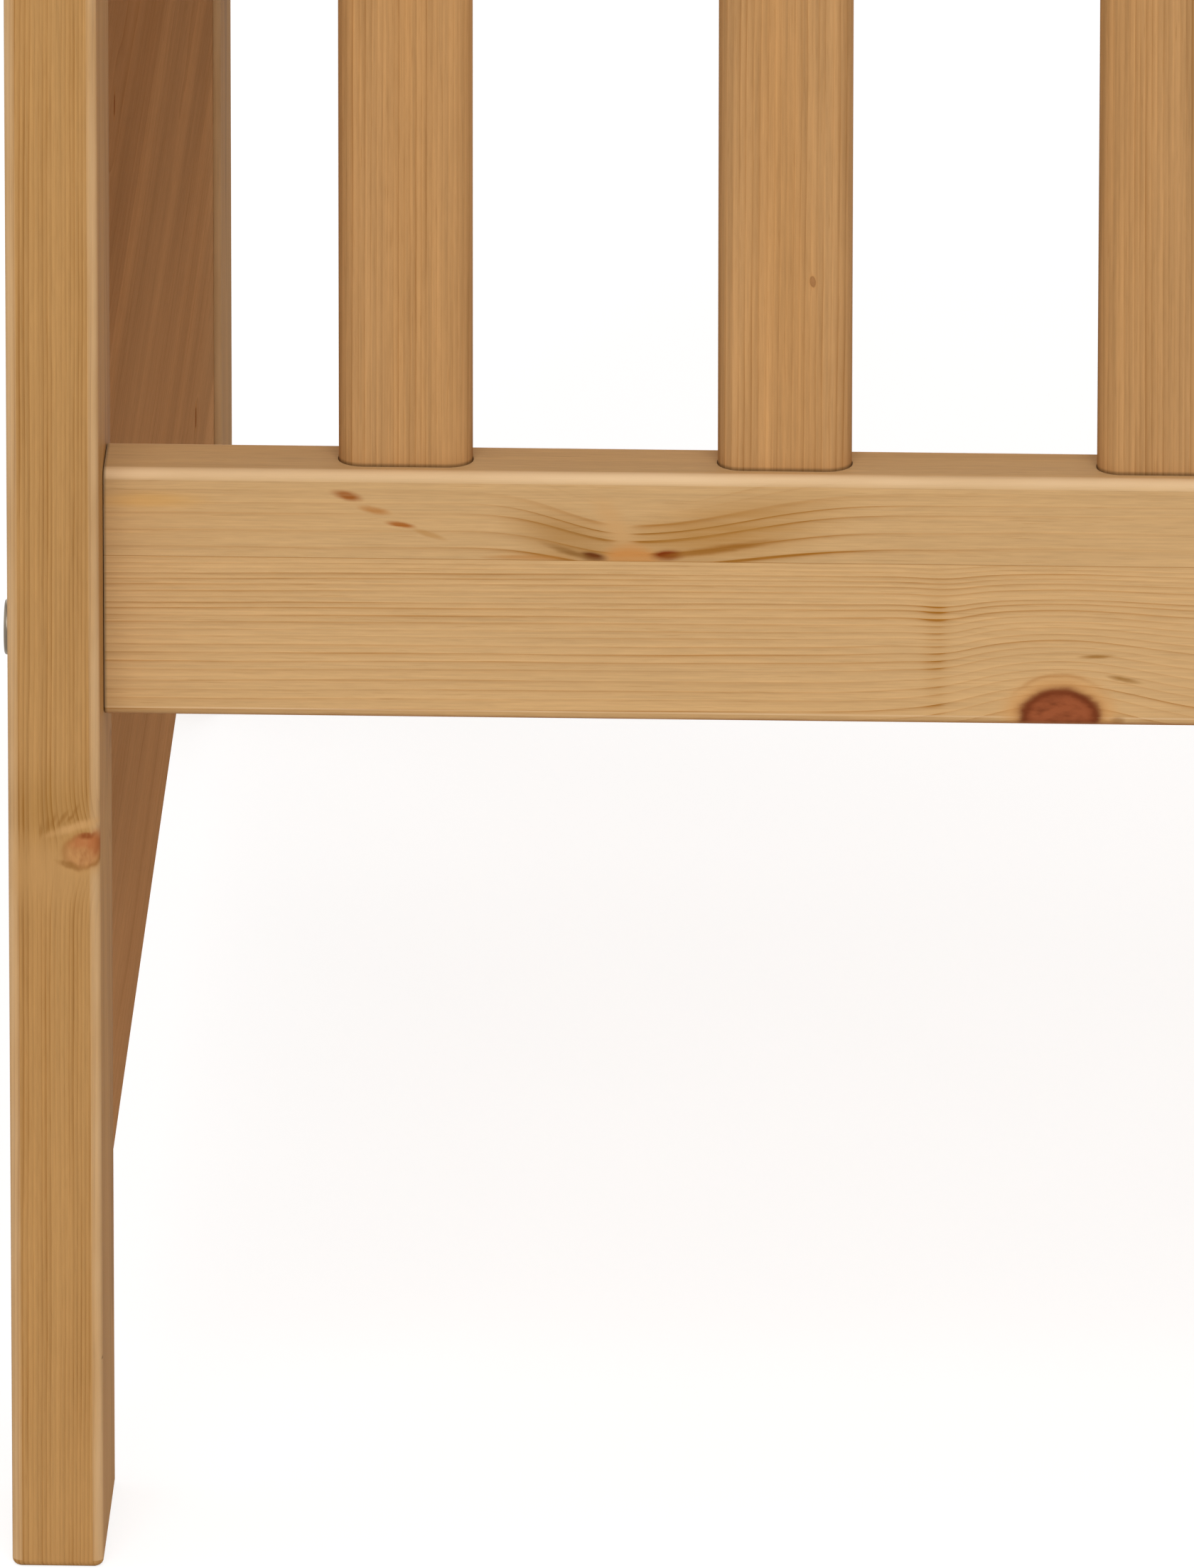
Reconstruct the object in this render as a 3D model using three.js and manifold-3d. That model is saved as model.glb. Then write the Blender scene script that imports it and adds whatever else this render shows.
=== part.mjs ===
// A child's crib in solid pine, for a mattress of 1200 by 600 mm: two end frames with solid boards, two fixed
// slatted sides and a slatted mattress base, held together by connector bolts with barrel nuts.
// Millimetres. X runs along the crib, Y from front to back and Z up, from the floor under the crib's middle.
import * as THREE from "three";
import { mergeVertices } from "three/addons/utils/BufferGeometryUtils.js";
import Module from "manifold-3d";

// The space inside
const INNER_LENGTH = 1230; // between the legs of the two ends
const INNER_WIDTH = 616; // between the rails of the two sides

// Legs
const LEG_THICKNESS = 22;
const LEG_DEPTH = 60;
const LEG_HEIGHT = 905;
const EDGE_RADIUS = 2.5; // rounded long edges of legs, rails and boards
const FOOT_EASING = 1.8; // rounded cut ends of the legs

// Side rails
const RAIL_THICKNESS = 22;
const RAIL_SETBACK = 20; // from the outer face of the legs to the outer face of the rails
const BOTTOM_RAIL_HEIGHT = 62;
const BOTTOM_RAIL_UNDERSIDE = 210; // above the floor
const TOP_RAIL_HEIGHT = 50;
const SIDE_DROP = 25; // from the top of the legs down to the top of the sides
const HANDRAIL_RADIUS = 6; // the softer upper edges of the top rails
const RAIL_END_EASING = 0.7;

// Side slats
const SLAT_COUNT = 13;
const SLAT_WIDTH = 32;
const SLAT_THICKNESS = 13;
const SLAT_RADIUS = 6;
const END_GAP = 56; // from a leg to the nearest slat
const MORTISE_DEPTH = 12;

// End boards and their arched top rails
const BOARD_THICKNESS = 18;
const BOARD_UNDERSIDE = 70; // above the floor
const GROOVE_DEPTH = 10; // in the legs and the arched rails
const ARCH_DROP = 85; // from the top of the legs down to the underside of the arched rails
const ARCH_SHOULDER = 66; // height of the arched rail where it meets the legs
const ARCH_RISE = 46; // the middle stands this much above the shoulders
const ARCH_STEPS = 16;
const TENON_SHOULDER = 14; // from the top of the arched rail's end down to its tenon

// Mattress base, shown in the uppermost of its three positions
const BASE_DROP = 320; // from the top of the sides down to the top of the base
const BASE_STEP = 140; // between one position and the next
const BASE_POSITIONS = 3;
const BASE_RAIL_THICKNESS = 22;
const BASE_RAIL_HEIGHT = 45;
const BASE_RAIL_INSET = 24; // from the side rails to the base rails
const BASE_SLAT_COUNT = 7;
const BASE_SLAT_WIDTH = 110;
const BASE_SLAT_THICKNESS = 12;
const BASE_SLAT_RADIUS = 2;
const BASE_SIDE_GAP = 3; // between the ends of the base slats and the side rails

// Connector bolts with barrel nuts, and the dowels beside them
const BOLT_RADIUS = 3;
const BOLT_HEAD_RADIUS = 6.7;
const BOLT_HEAD_THICKNESS = 1.8;
const BOLT_HEAD_CHAMFER = 0.7;
const SOCKET_ACROSS_FLATS = 4;
const SOCKET_DEPTH = 1.3;
const BOLT_HOLE_RADIUS = 3.5;
const BOLT_REACH = 38; // from the end of a rail to the middle of its barrel nut
const BOLT_TIP = 4; // past the barrel nut
const NUT_RADIUS = 5;
const NUT_LENGTH = 14;
const DOWEL_RADIUS = 4;
const DOWEL_LENGTH = 10; // the part that stands out of the rail
const BOLT_TO_DOWEL = 25;

const CLEARANCE = 0.3; // between pieces that fit into, or stand against, each other
const CORNER_STEPS = 3;
const EASING_STEPS = 2;
const HOLE_STEPS = 12;
const CUT_OVERRUN = 5; // how far a cutting tool runs past the face that it enters by

// Places that follow from the sizes above
const LEG_X = INNER_LENGTH / 2 + LEG_THICKNESS / 2;
const OUTER_X = INNER_LENGTH / 2 + LEG_THICKNESS;
const BOARD_INNER_X = LEG_X - BOARD_THICKNESS / 2;
const BOARD_OUTER_X = LEG_X + BOARD_THICKNESS / 2;
const RAIL_Y = INNER_WIDTH / 2 + RAIL_THICKNESS / 2;
const OUTER_Y = INNER_WIDTH / 2 + RAIL_THICKNESS + RAIL_SETBACK;
const LEG_Y = OUTER_Y - LEG_DEPTH / 2;
const LEG_INNER_Y = OUTER_Y - LEG_DEPTH;
const RAIL_LENGTH = INNER_LENGTH - 2 * CLEARANCE;
const SIDE_TOP = LEG_HEIGHT - SIDE_DROP;
const BOTTOM_RAIL_Z = BOTTOM_RAIL_UNDERSIDE + BOTTOM_RAIL_HEIGHT / 2;
const TOP_RAIL_Z = SIDE_TOP - TOP_RAIL_HEIGHT / 2;
const SLAT_PITCH = (INNER_LENGTH - 2 * END_GAP - SLAT_WIDTH) / (SLAT_COUNT - 1);
const SLAT_LOW = BOTTOM_RAIL_UNDERSIDE + BOTTOM_RAIL_HEIGHT - MORTISE_DEPTH + CLEARANCE;
const SLAT_HIGH = SIDE_TOP - TOP_RAIL_HEIGHT + MORTISE_DEPTH - CLEARANCE;
const BASE_TOP = SIDE_TOP - BASE_DROP;
const BASE_RAIL_TOP = BASE_TOP - BASE_SLAT_THICKNESS - CLEARANCE;
const BASE_RAIL_Z = BASE_RAIL_TOP - BASE_RAIL_HEIGHT / 2;
const BASE_RAIL_Y = INNER_WIDTH / 2 - BASE_RAIL_INSET - BASE_RAIL_THICKNESS / 2;
const BASE_RAIL_LENGTH = 2 * (BOARD_INNER_X - CLEARANCE);
const TONGUE = GROOVE_DEPTH - CLEARANCE; // how far boards and tenons reach into their grooves
const ARCH_RAIL_UNDERSIDE = LEG_HEIGHT - ARCH_DROP;
const BOARD_TOP = ARCH_RAIL_UNDERSIDE + TONGUE;
const TENON_LOW = ARCH_RAIL_UNDERSIDE + GROOVE_DEPTH + CLEARANCE;
const TENON_HIGH = ARCH_RAIL_UNDERSIDE + ARCH_SHOULDER - TENON_SHOULDER;

const wasm = await Module();
wasm.setup();

const PINE = { color: 0xc39a62, roughness: 0.45, metalness: 0 };
const pineFrame = new THREE.MeshStandardMaterial(PINE);
const pineSlat = new THREE.MeshStandardMaterial({ ...PINE, color: 0xbb8f58 });
const pineBoard = new THREE.MeshStandardMaterial({ ...PINE, color: 0xb5875a });
const pineBase = new THREE.MeshStandardMaterial({ ...PINE, color: 0xcfab77, roughness: 0.6 });
const bronze = new THREE.MeshStandardMaterial({ color: 0x6d5b41, roughness: 0.4, metalness: 1 });

// Solids and cuts

// A closed geometry as a solid that can be cut and joined.
function solid(geometry) {
  const bare = geometry.clone();
  bare.deleteAttribute("normal");
  bare.deleteAttribute("uv");
  const merged = mergeVertices(bare);
  return new wasm.Manifold(
    new wasm.Mesh({
      numProp: 3,
      vertProperties: merged.attributes.position.array,
      triVerts: new Uint32Array(merged.index.array),
    }),
  );
}

function geometryOf(made) {
  const { vertProperties, triVerts } = made.getMesh();
  const geometry = new THREE.BufferGeometry();
  geometry.setAttribute("position", new THREE.BufferAttribute(vertProperties, 3));
  geometry.setIndex(new THREE.BufferAttribute(triVerts, 1));
  geometry.computeVertexNormals();
  return geometry;
}

// The geometry with the added pieces joined on and then the cutting tools taken away.
function worked(geometry, { add = [], cut = [] }) {
  let made = solid(geometry);
  for (const piece of add) made = made.add(solid(piece));
  for (const tool of cut) made = made.subtract(solid(tool));
  return geometryOf(made);
}

// Basic forms, each centred on the origin

const X = new THREE.Vector3(1, 0, 0);
const Y = new THREE.Vector3(0, 1, 0);
const Z = new THREE.Vector3(0, 0, 1);
// An outline's own x and y, and the direction it is extruded in, as axes of the crib.
const TURNED = {
  x: new THREE.Matrix4().makeBasis(Y, Z, X),
  y: new THREE.Matrix4().makeBasis(Z, X, Y),
  z: new THREE.Matrix4().makeBasis(X, Y, Z),
};

// A rectangle with rounded corners, counter-clockwise, with its own radius for the two corners at the top.
function roundedOutline(width, height, lowRadius, highRadius = lowRadius) {
  const corners = [
    [1, -1, lowRadius],
    [1, 1, highRadius],
    [-1, 1, highRadius],
    [-1, -1, lowRadius],
  ];
  return corners.flatMap(([sideX, sideY, radius], corner) =>
    Array.from({ length: CORNER_STEPS + 1 }, (_, step) => {
      const angle = (corner - 1 + step / CORNER_STEPS) * (Math.PI / 2);
      return new THREE.Vector2(
        sideX * (width / 2 - radius) + radius * Math.cos(angle),
        sideY * (height / 2 - radius) + radius * Math.sin(angle),
      );
    }),
  );
}

// An outline extruded along an axis, with its ends rounded by the given easing.
function bar(axis, outline, length, easing = 0, easingSteps = 1) {
  const geometry = new THREE.ExtrudeGeometry(new THREE.Shape(outline), {
    depth: length - 2 * easing,
    bevelEnabled: easing > 0,
    bevelThickness: easing,
    bevelSize: easing,
    bevelOffset: -easing,
    bevelSegments: easingSteps,
  });
  return geometry.translate(0, 0, easing - length / 2).applyMatrix4(TURNED[axis]);
}

function box(sizeX, sizeY, sizeZ, x, y, z) {
  return new THREE.BoxGeometry(sizeX, sizeY, sizeZ).translate(x, y, z);
}

// A round rod along an axis, from one place on that axis to another; the centre gives the other two places.
function rod(axis, radius, from, to, centre) {
  const geometry = new THREE.CylinderGeometry(radius, radius, to - from, HOLE_STEPS);
  const upright = geometry.rotateX(Math.PI / 2).applyMatrix4(TURNED[axis]);
  const place = new THREE.Vector3(...centre);
  place[axis] = (from + to) / 2;
  return upright.translate(place.x, place.y, place.z);
}

// The hole for a bolt through a piece of the given thickness that is centred on X = 0.
function boltHole(thickness, y, z) {
  const reach = thickness / 2 + CUT_OVERRUN;
  return rod("x", BOLT_HOLE_RADIUS, -reach, reach, [0, y, z]);
}

function piece(name, geometry, material, x = 0, y = 0, z = 0) {
  const mesh = new THREE.Mesh(geometry, material);
  mesh.name = name;
  mesh.position.set(x, y, z);
  return mesh;
}

// Where a side rail's bolt and dowel stand, above the floor.
const boltZ = (railZ) => railZ - BOLT_TO_DOWEL / 2;
const dowelZ = (railZ) => railZ + BOLT_TO_DOWEL / 2;

// End frames. Each is built as the right-hand end, with X growing outwards.

// A leg, with holes for the side rails' bolts and dowels and a stopped groove for the end board.
// Its own Y grows towards the outer face of the crib.
function legGeometry() {
  const outline = roundedOutline(LEG_THICKNESS, LEG_DEPTH, EDGE_RADIUS);
  const leg = bar("z", outline, LEG_HEIGHT, FOOT_EASING, EASING_STEPS);
  leg.translate(0, 0, LEG_HEIGHT / 2);
  const halfThickness = LEG_THICKNESS / 2;
  const railY = RAIL_Y - LEG_Y;
  const holes = [BOTTOM_RAIL_Z, TOP_RAIL_Z].flatMap((z) => [
    boltHole(LEG_THICKNESS, railY, boltZ(z)),
    rod(
      "x",
      DOWEL_RADIUS + CLEARANCE,
      -halfThickness - CUT_OVERRUN,
      -halfThickness + DOWEL_LENGTH + CLEARANCE,
      [0, railY, dowelZ(z)],
    ),
  ]);
  const grooveLow = BOARD_UNDERSIDE - CLEARANCE;
  const grooveHigh = TENON_HIGH + CLEARANCE;
  const groove = box(
    BOARD_THICKNESS + 2 * CLEARANCE,
    GROOVE_DEPTH + CUT_OVERRUN,
    grooveHigh - grooveLow,
    0,
    -LEG_DEPTH / 2 + (GROOVE_DEPTH - CUT_OVERRUN) / 2,
    (grooveHigh + grooveLow) / 2,
  );
  return worked(leg, { cut: [...holes, groove] });
}

// The solid board between the legs, with the bolt holes for every position of the base.
function endBoardGeometry() {
  const height = BOARD_TOP - BOARD_UNDERSIDE;
  const width = 2 * (LEG_INNER_Y + TONGUE);
  const board = bar("y", roundedOutline(height, BOARD_THICKNESS, EDGE_RADIUS), width);
  board.translate(0, 0, (BOARD_TOP + BOARD_UNDERSIDE) / 2);
  const holes = [];
  for (let position = 0; position < BASE_POSITIONS; position++)
    for (const side of [-1, 1])
      holes.push(boltHole(BOARD_THICKNESS, side * BASE_RAIL_Y, BASE_RAIL_Z - position * BASE_STEP));
  return worked(board, { cut: holes });
}

// The arched rail over the board, with a tenon at each end and a groove in its underside.
function archRailGeometry() {
  const half = LEG_INNER_Y - CLEARANCE;
  const radius = (half * half + ARCH_RISE * ARCH_RISE) / (2 * ARCH_RISE);
  const spread = Math.asin(half / radius);
  const top = ARCH_SHOULDER + ARCH_RISE;
  const arch = Array.from({ length: ARCH_STEPS + 1 }, (_, step) => {
    const angle = spread * (1 - (2 * step) / ARCH_STEPS);
    return new THREE.Vector2(radius * Math.sin(angle), top - radius + radius * Math.cos(angle));
  });
  const outline = [new THREE.Vector2(-half, 0), new THREE.Vector2(half, 0), ...arch];
  const rail = bar("x", outline, LEG_THICKNESS, EDGE_RADIUS, EASING_STEPS);
  rail.translate(0, 0, ARCH_RAIL_UNDERSIDE);
  const tenonHeight = TENON_HIGH - TENON_LOW;
  const tenons = box(
    BOARD_THICKNESS,
    2 * (LEG_INNER_Y + TONGUE),
    tenonHeight,
    0,
    0,
    TENON_LOW + tenonHeight / 2,
  );
  const groove = box(
    BOARD_THICKNESS + 2 * CLEARANCE,
    2 * (LEG_INNER_Y + CUT_OVERRUN),
    GROOVE_DEPTH + CUT_OVERRUN,
    0,
    0,
    ARCH_RAIL_UNDERSIDE + (GROOVE_DEPTH - CUT_OVERRUN) / 2,
  );
  return worked(rail, { add: [tenons], cut: [groove] });
}

// Fasteners

// A connector bolt with its barrel nut screwed on. The underside of its head is at the origin and the head
// faces +X. The grip is the distance from there to the end of the rail.
function boltGeometry(grip) {
  const tip = -(grip + BOLT_REACH + NUT_RADIUS + BOLT_TIP);
  const headEdge = BOLT_HEAD_THICKNESS - BOLT_HEAD_CHAMFER;
  const profile = [
    [0, tip],
    [BOLT_RADIUS, tip],
    [BOLT_RADIUS, 0],
    [BOLT_HEAD_RADIUS, 0],
    [BOLT_HEAD_RADIUS, headEdge],
    [BOLT_HEAD_RADIUS - BOLT_HEAD_CHAMFER, BOLT_HEAD_THICKNESS],
    [0, BOLT_HEAD_THICKNESS],
  ].map(([r, a]) => new THREE.Vector2(r, a));
  const bolt = new THREE.LatheGeometry(profile, HOLE_STEPS).rotateZ(-Math.PI / 2);
  const nut = rod("y", NUT_RADIUS, -NUT_LENGTH / 2, NUT_LENGTH / 2, [-(grip + BOLT_REACH), 0, 0]);
  const socketRadius = SOCKET_ACROSS_FLATS / Math.sqrt(3);
  const socket = new THREE.CylinderGeometry(socketRadius, socketRadius, SOCKET_DEPTH + CUT_OVERRUN, 6);
  socket.rotateZ(Math.PI / 2);
  socket.translate(BOLT_HEAD_THICKNESS + (CUT_OVERRUN - SOCKET_DEPTH) / 2, 0, 0);
  return worked(bolt, { add: [nut], cut: [socket] });
}

// The bolt's hole into the end of a rail that is centred on the origin, and the cross hole for its nut, which
// goes in from the face that looks along -Y. The end is 1 or -1.
function boltCuts(railLength, railThickness, end, z) {
  const railEnd = railLength / 2;
  const depth = BOLT_REACH + NUT_RADIUS + BOLT_TIP + CLEARANCE;
  const [from, to] = [railEnd - depth, railEnd + CUT_OVERRUN];
  const [low, high] = end > 0 ? [from, to] : [-to, -from];
  const nutX = end * (railEnd - BOLT_REACH);
  const nutMouth = -railThickness / 2 - CUT_OVERRUN;
  const nutFloor = NUT_LENGTH / 2 + CLEARANCE;
  return [
    rod("x", BOLT_HOLE_RADIUS, low, high, [0, 0, z]),
    rod("y", NUT_RADIUS + CLEARANCE, nutMouth, nutFloor, [nutX, 0, z]),
  ];
}

// Sides. Each is built as the back side, with Y growing outwards.

const slatX = (index) => (index - (SLAT_COUNT - 1) / 2) * SLAT_PITCH;

function slatGeometry() {
  const outline = roundedOutline(SLAT_WIDTH, SLAT_THICKNESS, SLAT_RADIUS);
  return bar("z", outline, SLAT_HIGH - SLAT_LOW);
}

// A rail with a mortise for every slat in its face that looks up (1) or down (-1), bolt and nut holes, and
// the glued dowels that stand out of its ends.
function sideRailGeometry(height, topRadius, face) {
  const outline = roundedOutline(RAIL_THICKNESS, height, EDGE_RADIUS, topRadius);
  const rail = bar("x", outline, RAIL_LENGTH, RAIL_END_EASING);
  const mortiseOutline = roundedOutline(
    SLAT_WIDTH + 2 * CLEARANCE,
    SLAT_THICKNESS + 2 * CLEARANCE,
    SLAT_RADIUS + CLEARANCE,
  );
  const mortises = Array.from({ length: SLAT_COUNT }, (_, index) =>
    bar("z", mortiseOutline, MORTISE_DEPTH + CUT_OVERRUN).translate(
      slatX(index),
      0,
      face * (height / 2 + (CUT_OVERRUN - MORTISE_DEPTH) / 2),
    ),
  );
  const railEnd = RAIL_LENGTH / 2;
  const dowels = [-1, 1].map((end) =>
    rod("x", DOWEL_RADIUS, end > 0 ? 0 : -railEnd - DOWEL_LENGTH, end > 0 ? railEnd + DOWEL_LENGTH : 0, [
      0,
      0,
      dowelZ(0),
    ]),
  );
  const bolts = [-1, 1].flatMap((end) => boltCuts(RAIL_LENGTH, RAIL_THICKNESS, end, boltZ(0)));
  return worked(rail, { add: dowels, cut: [...mortises, ...bolts] });
}

// Mattress base

function baseRailGeometry() {
  const outline = roundedOutline(BASE_RAIL_THICKNESS, BASE_RAIL_HEIGHT, EDGE_RADIUS);
  const rail = bar("x", outline, BASE_RAIL_LENGTH);
  const bolts = [-1, 1].flatMap((end) => boltCuts(BASE_RAIL_LENGTH, BASE_RAIL_THICKNESS, end, 0));
  return worked(rail, { cut: bolts });
}

function baseSlatGeometry() {
  const outline = roundedOutline(BASE_SLAT_THICKNESS, BASE_SLAT_WIDTH, BASE_SLAT_RADIUS);
  return bar("y", outline, INNER_WIDTH - 2 * BASE_SIDE_GAP);
}

// Assembly

const crib = new THREE.Group();

const legShape = legGeometry();
const boardShape = endBoardGeometry();
const archShape = archRailGeometry();
const sideBoltShape = boltGeometry(LEG_THICKNESS + 2 * CLEARANCE);
const baseBoltShape = boltGeometry(BOARD_THICKNESS + 2 * CLEARANCE);

for (const [end, mirrorX] of [["left", -1], ["right", 1]]) {
  const frame = new THREE.Group();
  frame.scale.x = mirrorX;
  frame.add(piece(`${end}_end_board`, boardShape, pineBoard, LEG_X));
  frame.add(piece(`${end}_arched_rail`, archShape, pineFrame, LEG_X));
  for (const [side, mirrorY] of [["front", -1], ["back", 1]]) {
    const corner = new THREE.Group();
    corner.scale.y = mirrorY;
    corner.add(piece(`${side}_${end}_leg`, legShape, pineFrame, LEG_X, LEG_Y));
    const seat = OUTER_X + CLEARANCE;
    corner.add(piece(`${side}_${end}_lower_bolt`, sideBoltShape, bronze, seat, RAIL_Y, boltZ(BOTTOM_RAIL_Z)));
    corner.add(piece(`${side}_${end}_upper_bolt`, sideBoltShape, bronze, seat, RAIL_Y, boltZ(TOP_RAIL_Z)));
    const boardSeat = BOARD_OUTER_X + CLEARANCE;
    corner.add(piece(`${side}_${end}_base_bolt`, baseBoltShape, bronze, boardSeat, BASE_RAIL_Y, BASE_RAIL_Z));
    frame.add(corner);
  }
  crib.add(frame);
}

const slatShape = slatGeometry();
const bottomRailShape = sideRailGeometry(BOTTOM_RAIL_HEIGHT, EDGE_RADIUS, 1);
const topRailShape = sideRailGeometry(TOP_RAIL_HEIGHT, HANDRAIL_RADIUS, -1);
const baseRailShape = baseRailGeometry();

for (const [side, mirrorY] of [["front", -1], ["back", 1]]) {
  const fence = new THREE.Group();
  fence.scale.y = mirrorY;
  fence.add(piece(`${side}_bottom_rail`, bottomRailShape, pineFrame, 0, RAIL_Y, BOTTOM_RAIL_Z));
  fence.add(piece(`${side}_top_rail`, topRailShape, pineFrame, 0, RAIL_Y, TOP_RAIL_Z));
  for (let index = 0; index < SLAT_COUNT; index++) {
    const name = `${side}_slat_${String(index + 1).padStart(2, "0")}`;
    fence.add(piece(name, slatShape, pineSlat, slatX(index), RAIL_Y, (SLAT_LOW + SLAT_HIGH) / 2));
  }
  fence.add(piece(`${side}_base_rail`, baseRailShape, pineBase, 0, BASE_RAIL_Y, BASE_RAIL_Z));
  crib.add(fence);
}

const baseSlatShape = baseSlatGeometry();
const baseSlatPitch = (INNER_LENGTH + BASE_SLAT_WIDTH) / (BASE_SLAT_COUNT + 1);
for (let index = 0; index < BASE_SLAT_COUNT; index++) {
  const x = (index - (BASE_SLAT_COUNT - 1) / 2) * baseSlatPitch;
  const z = BASE_TOP - BASE_SLAT_THICKNESS / 2;
  crib.add(piece(`base_slat_${index + 1}`, baseSlatShape, pineBase, x, 0, z));
}

export default crib;
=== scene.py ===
# The look of a pine crib: every piece of wood is made again with finely rounded edges, real mortises
# and grain that runs through its whole body, and every bolt, nut and screw with its recess.
# Sizes are in metres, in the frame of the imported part: X along the crib, Y from front to back, Z up.
import math
import random

import bmesh
import bpy
import numpy as np
from mathutils import Matrix, Vector


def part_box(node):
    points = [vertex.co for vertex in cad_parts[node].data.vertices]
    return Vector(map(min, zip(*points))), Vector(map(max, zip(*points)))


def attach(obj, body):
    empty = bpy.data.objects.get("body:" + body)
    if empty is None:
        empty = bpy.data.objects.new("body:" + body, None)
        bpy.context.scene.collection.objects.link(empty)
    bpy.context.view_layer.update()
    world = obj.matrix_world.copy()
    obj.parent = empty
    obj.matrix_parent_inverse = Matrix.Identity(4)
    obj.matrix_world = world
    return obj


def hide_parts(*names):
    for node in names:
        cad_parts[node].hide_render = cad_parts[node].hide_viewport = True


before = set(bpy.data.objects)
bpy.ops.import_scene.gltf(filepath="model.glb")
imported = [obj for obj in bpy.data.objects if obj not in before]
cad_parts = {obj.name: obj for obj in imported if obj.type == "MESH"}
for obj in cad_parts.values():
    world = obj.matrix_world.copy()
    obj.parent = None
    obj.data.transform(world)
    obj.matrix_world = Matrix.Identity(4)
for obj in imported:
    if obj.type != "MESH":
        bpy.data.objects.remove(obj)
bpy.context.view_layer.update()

MM = 0.001

# The photograph's frame and the camera that took it
IMAGE_HEIGHT = 2206
SENSOR = 36.0  # mm
FOCAL_PIXELS = 41496.0
CAMERA_PLACE = (-0.27945, -7.00059, 2.47862)
CAMERA_YAW = 0.032589
CAMERA_PITCH = 0.329785
CAMERA_ROLL = 0.001031
CAMERA_REACH = 120.0

# Sizes that the pieces share with the solids
CLEARANCE = 0.3 * MM
EDGE_RADIUS = 2.5 * MM
FOOT_EASING = 1.8 * MM
RAIL_END_EASING = 0.35 * MM
RAIL_END_GAP = 0.12 * MM
MORTISE_GAP = 0.18 * MM
GROOVE_GAP = 0.04 * MM
HANDRAIL_RADIUS = 6 * MM
SLAT_RADIUS = 6 * MM
MORTISE_DEPTH = 12 * MM
TENON_HEIGHT = 41.7 * MM
TENON_SHOULDER = 14 * MM
ARCH_RISE = 46 * MM
GROOVE_DEPTH = 10 * MM
BASE_STEP = 140 * MM
BASE_POSITIONS = 3
BASE_SLAT_RADIUS = 2 * MM
BOLT_RADIUS = 3 * MM
BOLT_HOLE_RADIUS = 3.5 * MM
BOLT_HEAD_RADIUS = 6.7 * MM
BOLT_HEAD_THICKNESS = 1.8 * MM
HEAD_ROUNDING = 0.7 * MM
HEAD_CHAMFER = 0.1 * MM
THREAD_CHAMFER = 0.4 * MM
SOCKET_ACROSS_FLATS = 4 * MM
SOCKET_DEPTH = 1.3 * MM
BOLT_REACH = 38 * MM
BOLT_TIP = 4 * MM
NUT_RADIUS = 5 * MM
NUT_LENGTH = 14 * MM
NUT_CHAMFER = 0.4 * MM
NUT_SLOT_WIDTH = 1.4 * MM
NUT_SLOT_DEPTH = 1.2 * MM
DOWEL_RADIUS = 4 * MM
DOWEL_LENGTH = 10 * MM
DOWEL_CHAMFER = 0.8 * MM
BOLT_TO_DOWEL = 25 * MM
SCREW_HEAD_RADIUS = 3.6 * MM
SCREW_SINK = 0.25 * MM
SCREW_LENGTH = 11 * MM
SCREW_RADIUS = 1.4 * MM
SCREW_NECK = 2.5 * MM
SCREW_RIM = 0.35 * MM
SCREW_EASING = 0.1 * MM
SCREW_HOLE_RADIUS = 1.7 * MM
COUNTERSINK_DEPTH = 2.6 * MM
COUNTERSINK_RIM = 0.4 * MM
COUNTERSINK_GAP = 0.2 * MM
CROSS_ARM = 2.1 * MM
CROSS_HALF_WIDTH = 0.45 * MM
CROSS_DEPTH = 1.4 * MM
SCREW_SPREAD = 30 * MM

CORNER_STEPS = 9
EASING_STEPS = 5
ROUND_STEPS = 48
DOWEL_STEPS = 24
SCREW_STEPS = 32
SOCKET_SIDES = 6
ARCH_STEPS = 60
OVERRUN = 5 * MM

ENDS = {"left": -1, "right": 1}
SIDES = {"front": -1, "back": 1}
SLAT_COUNT = 13
BASE_SLAT_COUNT = 7
AXIS = {"x": 0, "y": 1, "z": 2}


# Shapes

def rounded_outline(width, height, low_radius, high_radius):
    """A rectangle with rounded corners, counter-clockwise; the second radius is for the two upper corners."""
    corners = ((1, -1, low_radius), (1, 1, high_radius), (-1, 1, high_radius), (-1, -1, low_radius))
    points = []
    for corner, (side_a, side_b, radius) in enumerate(corners):
        for step in range(CORNER_STEPS + 1):
            angle = (corner - 1 + step / CORNER_STEPS) * math.pi / 2
            a = side_a * (width / 2 - radius) + radius * math.cos(angle)
            b = side_b * (height / 2 - radius) + radius * math.sin(angle)
            points.append((a, b))
    return points


def inset(outline, amount):
    """The outline moved inwards by an equal amount all round, with its corners mitred."""
    points = np.array(outline)
    towards = points - np.roll(points, 1, axis=0)
    away = np.roll(points, -1, axis=0) - points
    towards /= np.linalg.norm(towards, axis=1)[:, None]
    away /= np.linalg.norm(away, axis=1)[:, None]
    normal_in = np.stack((towards[:, 1], -towards[:, 0]), axis=1)
    normal_out = np.stack((away[:, 1], -away[:, 0]), axis=1)
    mitre = (normal_in + normal_out) / (1 + (normal_in * normal_out).sum(axis=1))[:, None]
    return points - amount * mitre


def ring(axis, outline, place, centre):
    """An outline as points in space, square to the axis at a place on it, round a centre."""
    index = AXIS[axis]
    ways = [way for way in range(3) if way != index]
    points = []
    for a, b in outline:
        point = list(centre)
        point[ways[0]] += a
        point[ways[1]] += b
        point[index] = place
        points.append(point)
    return points


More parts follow.
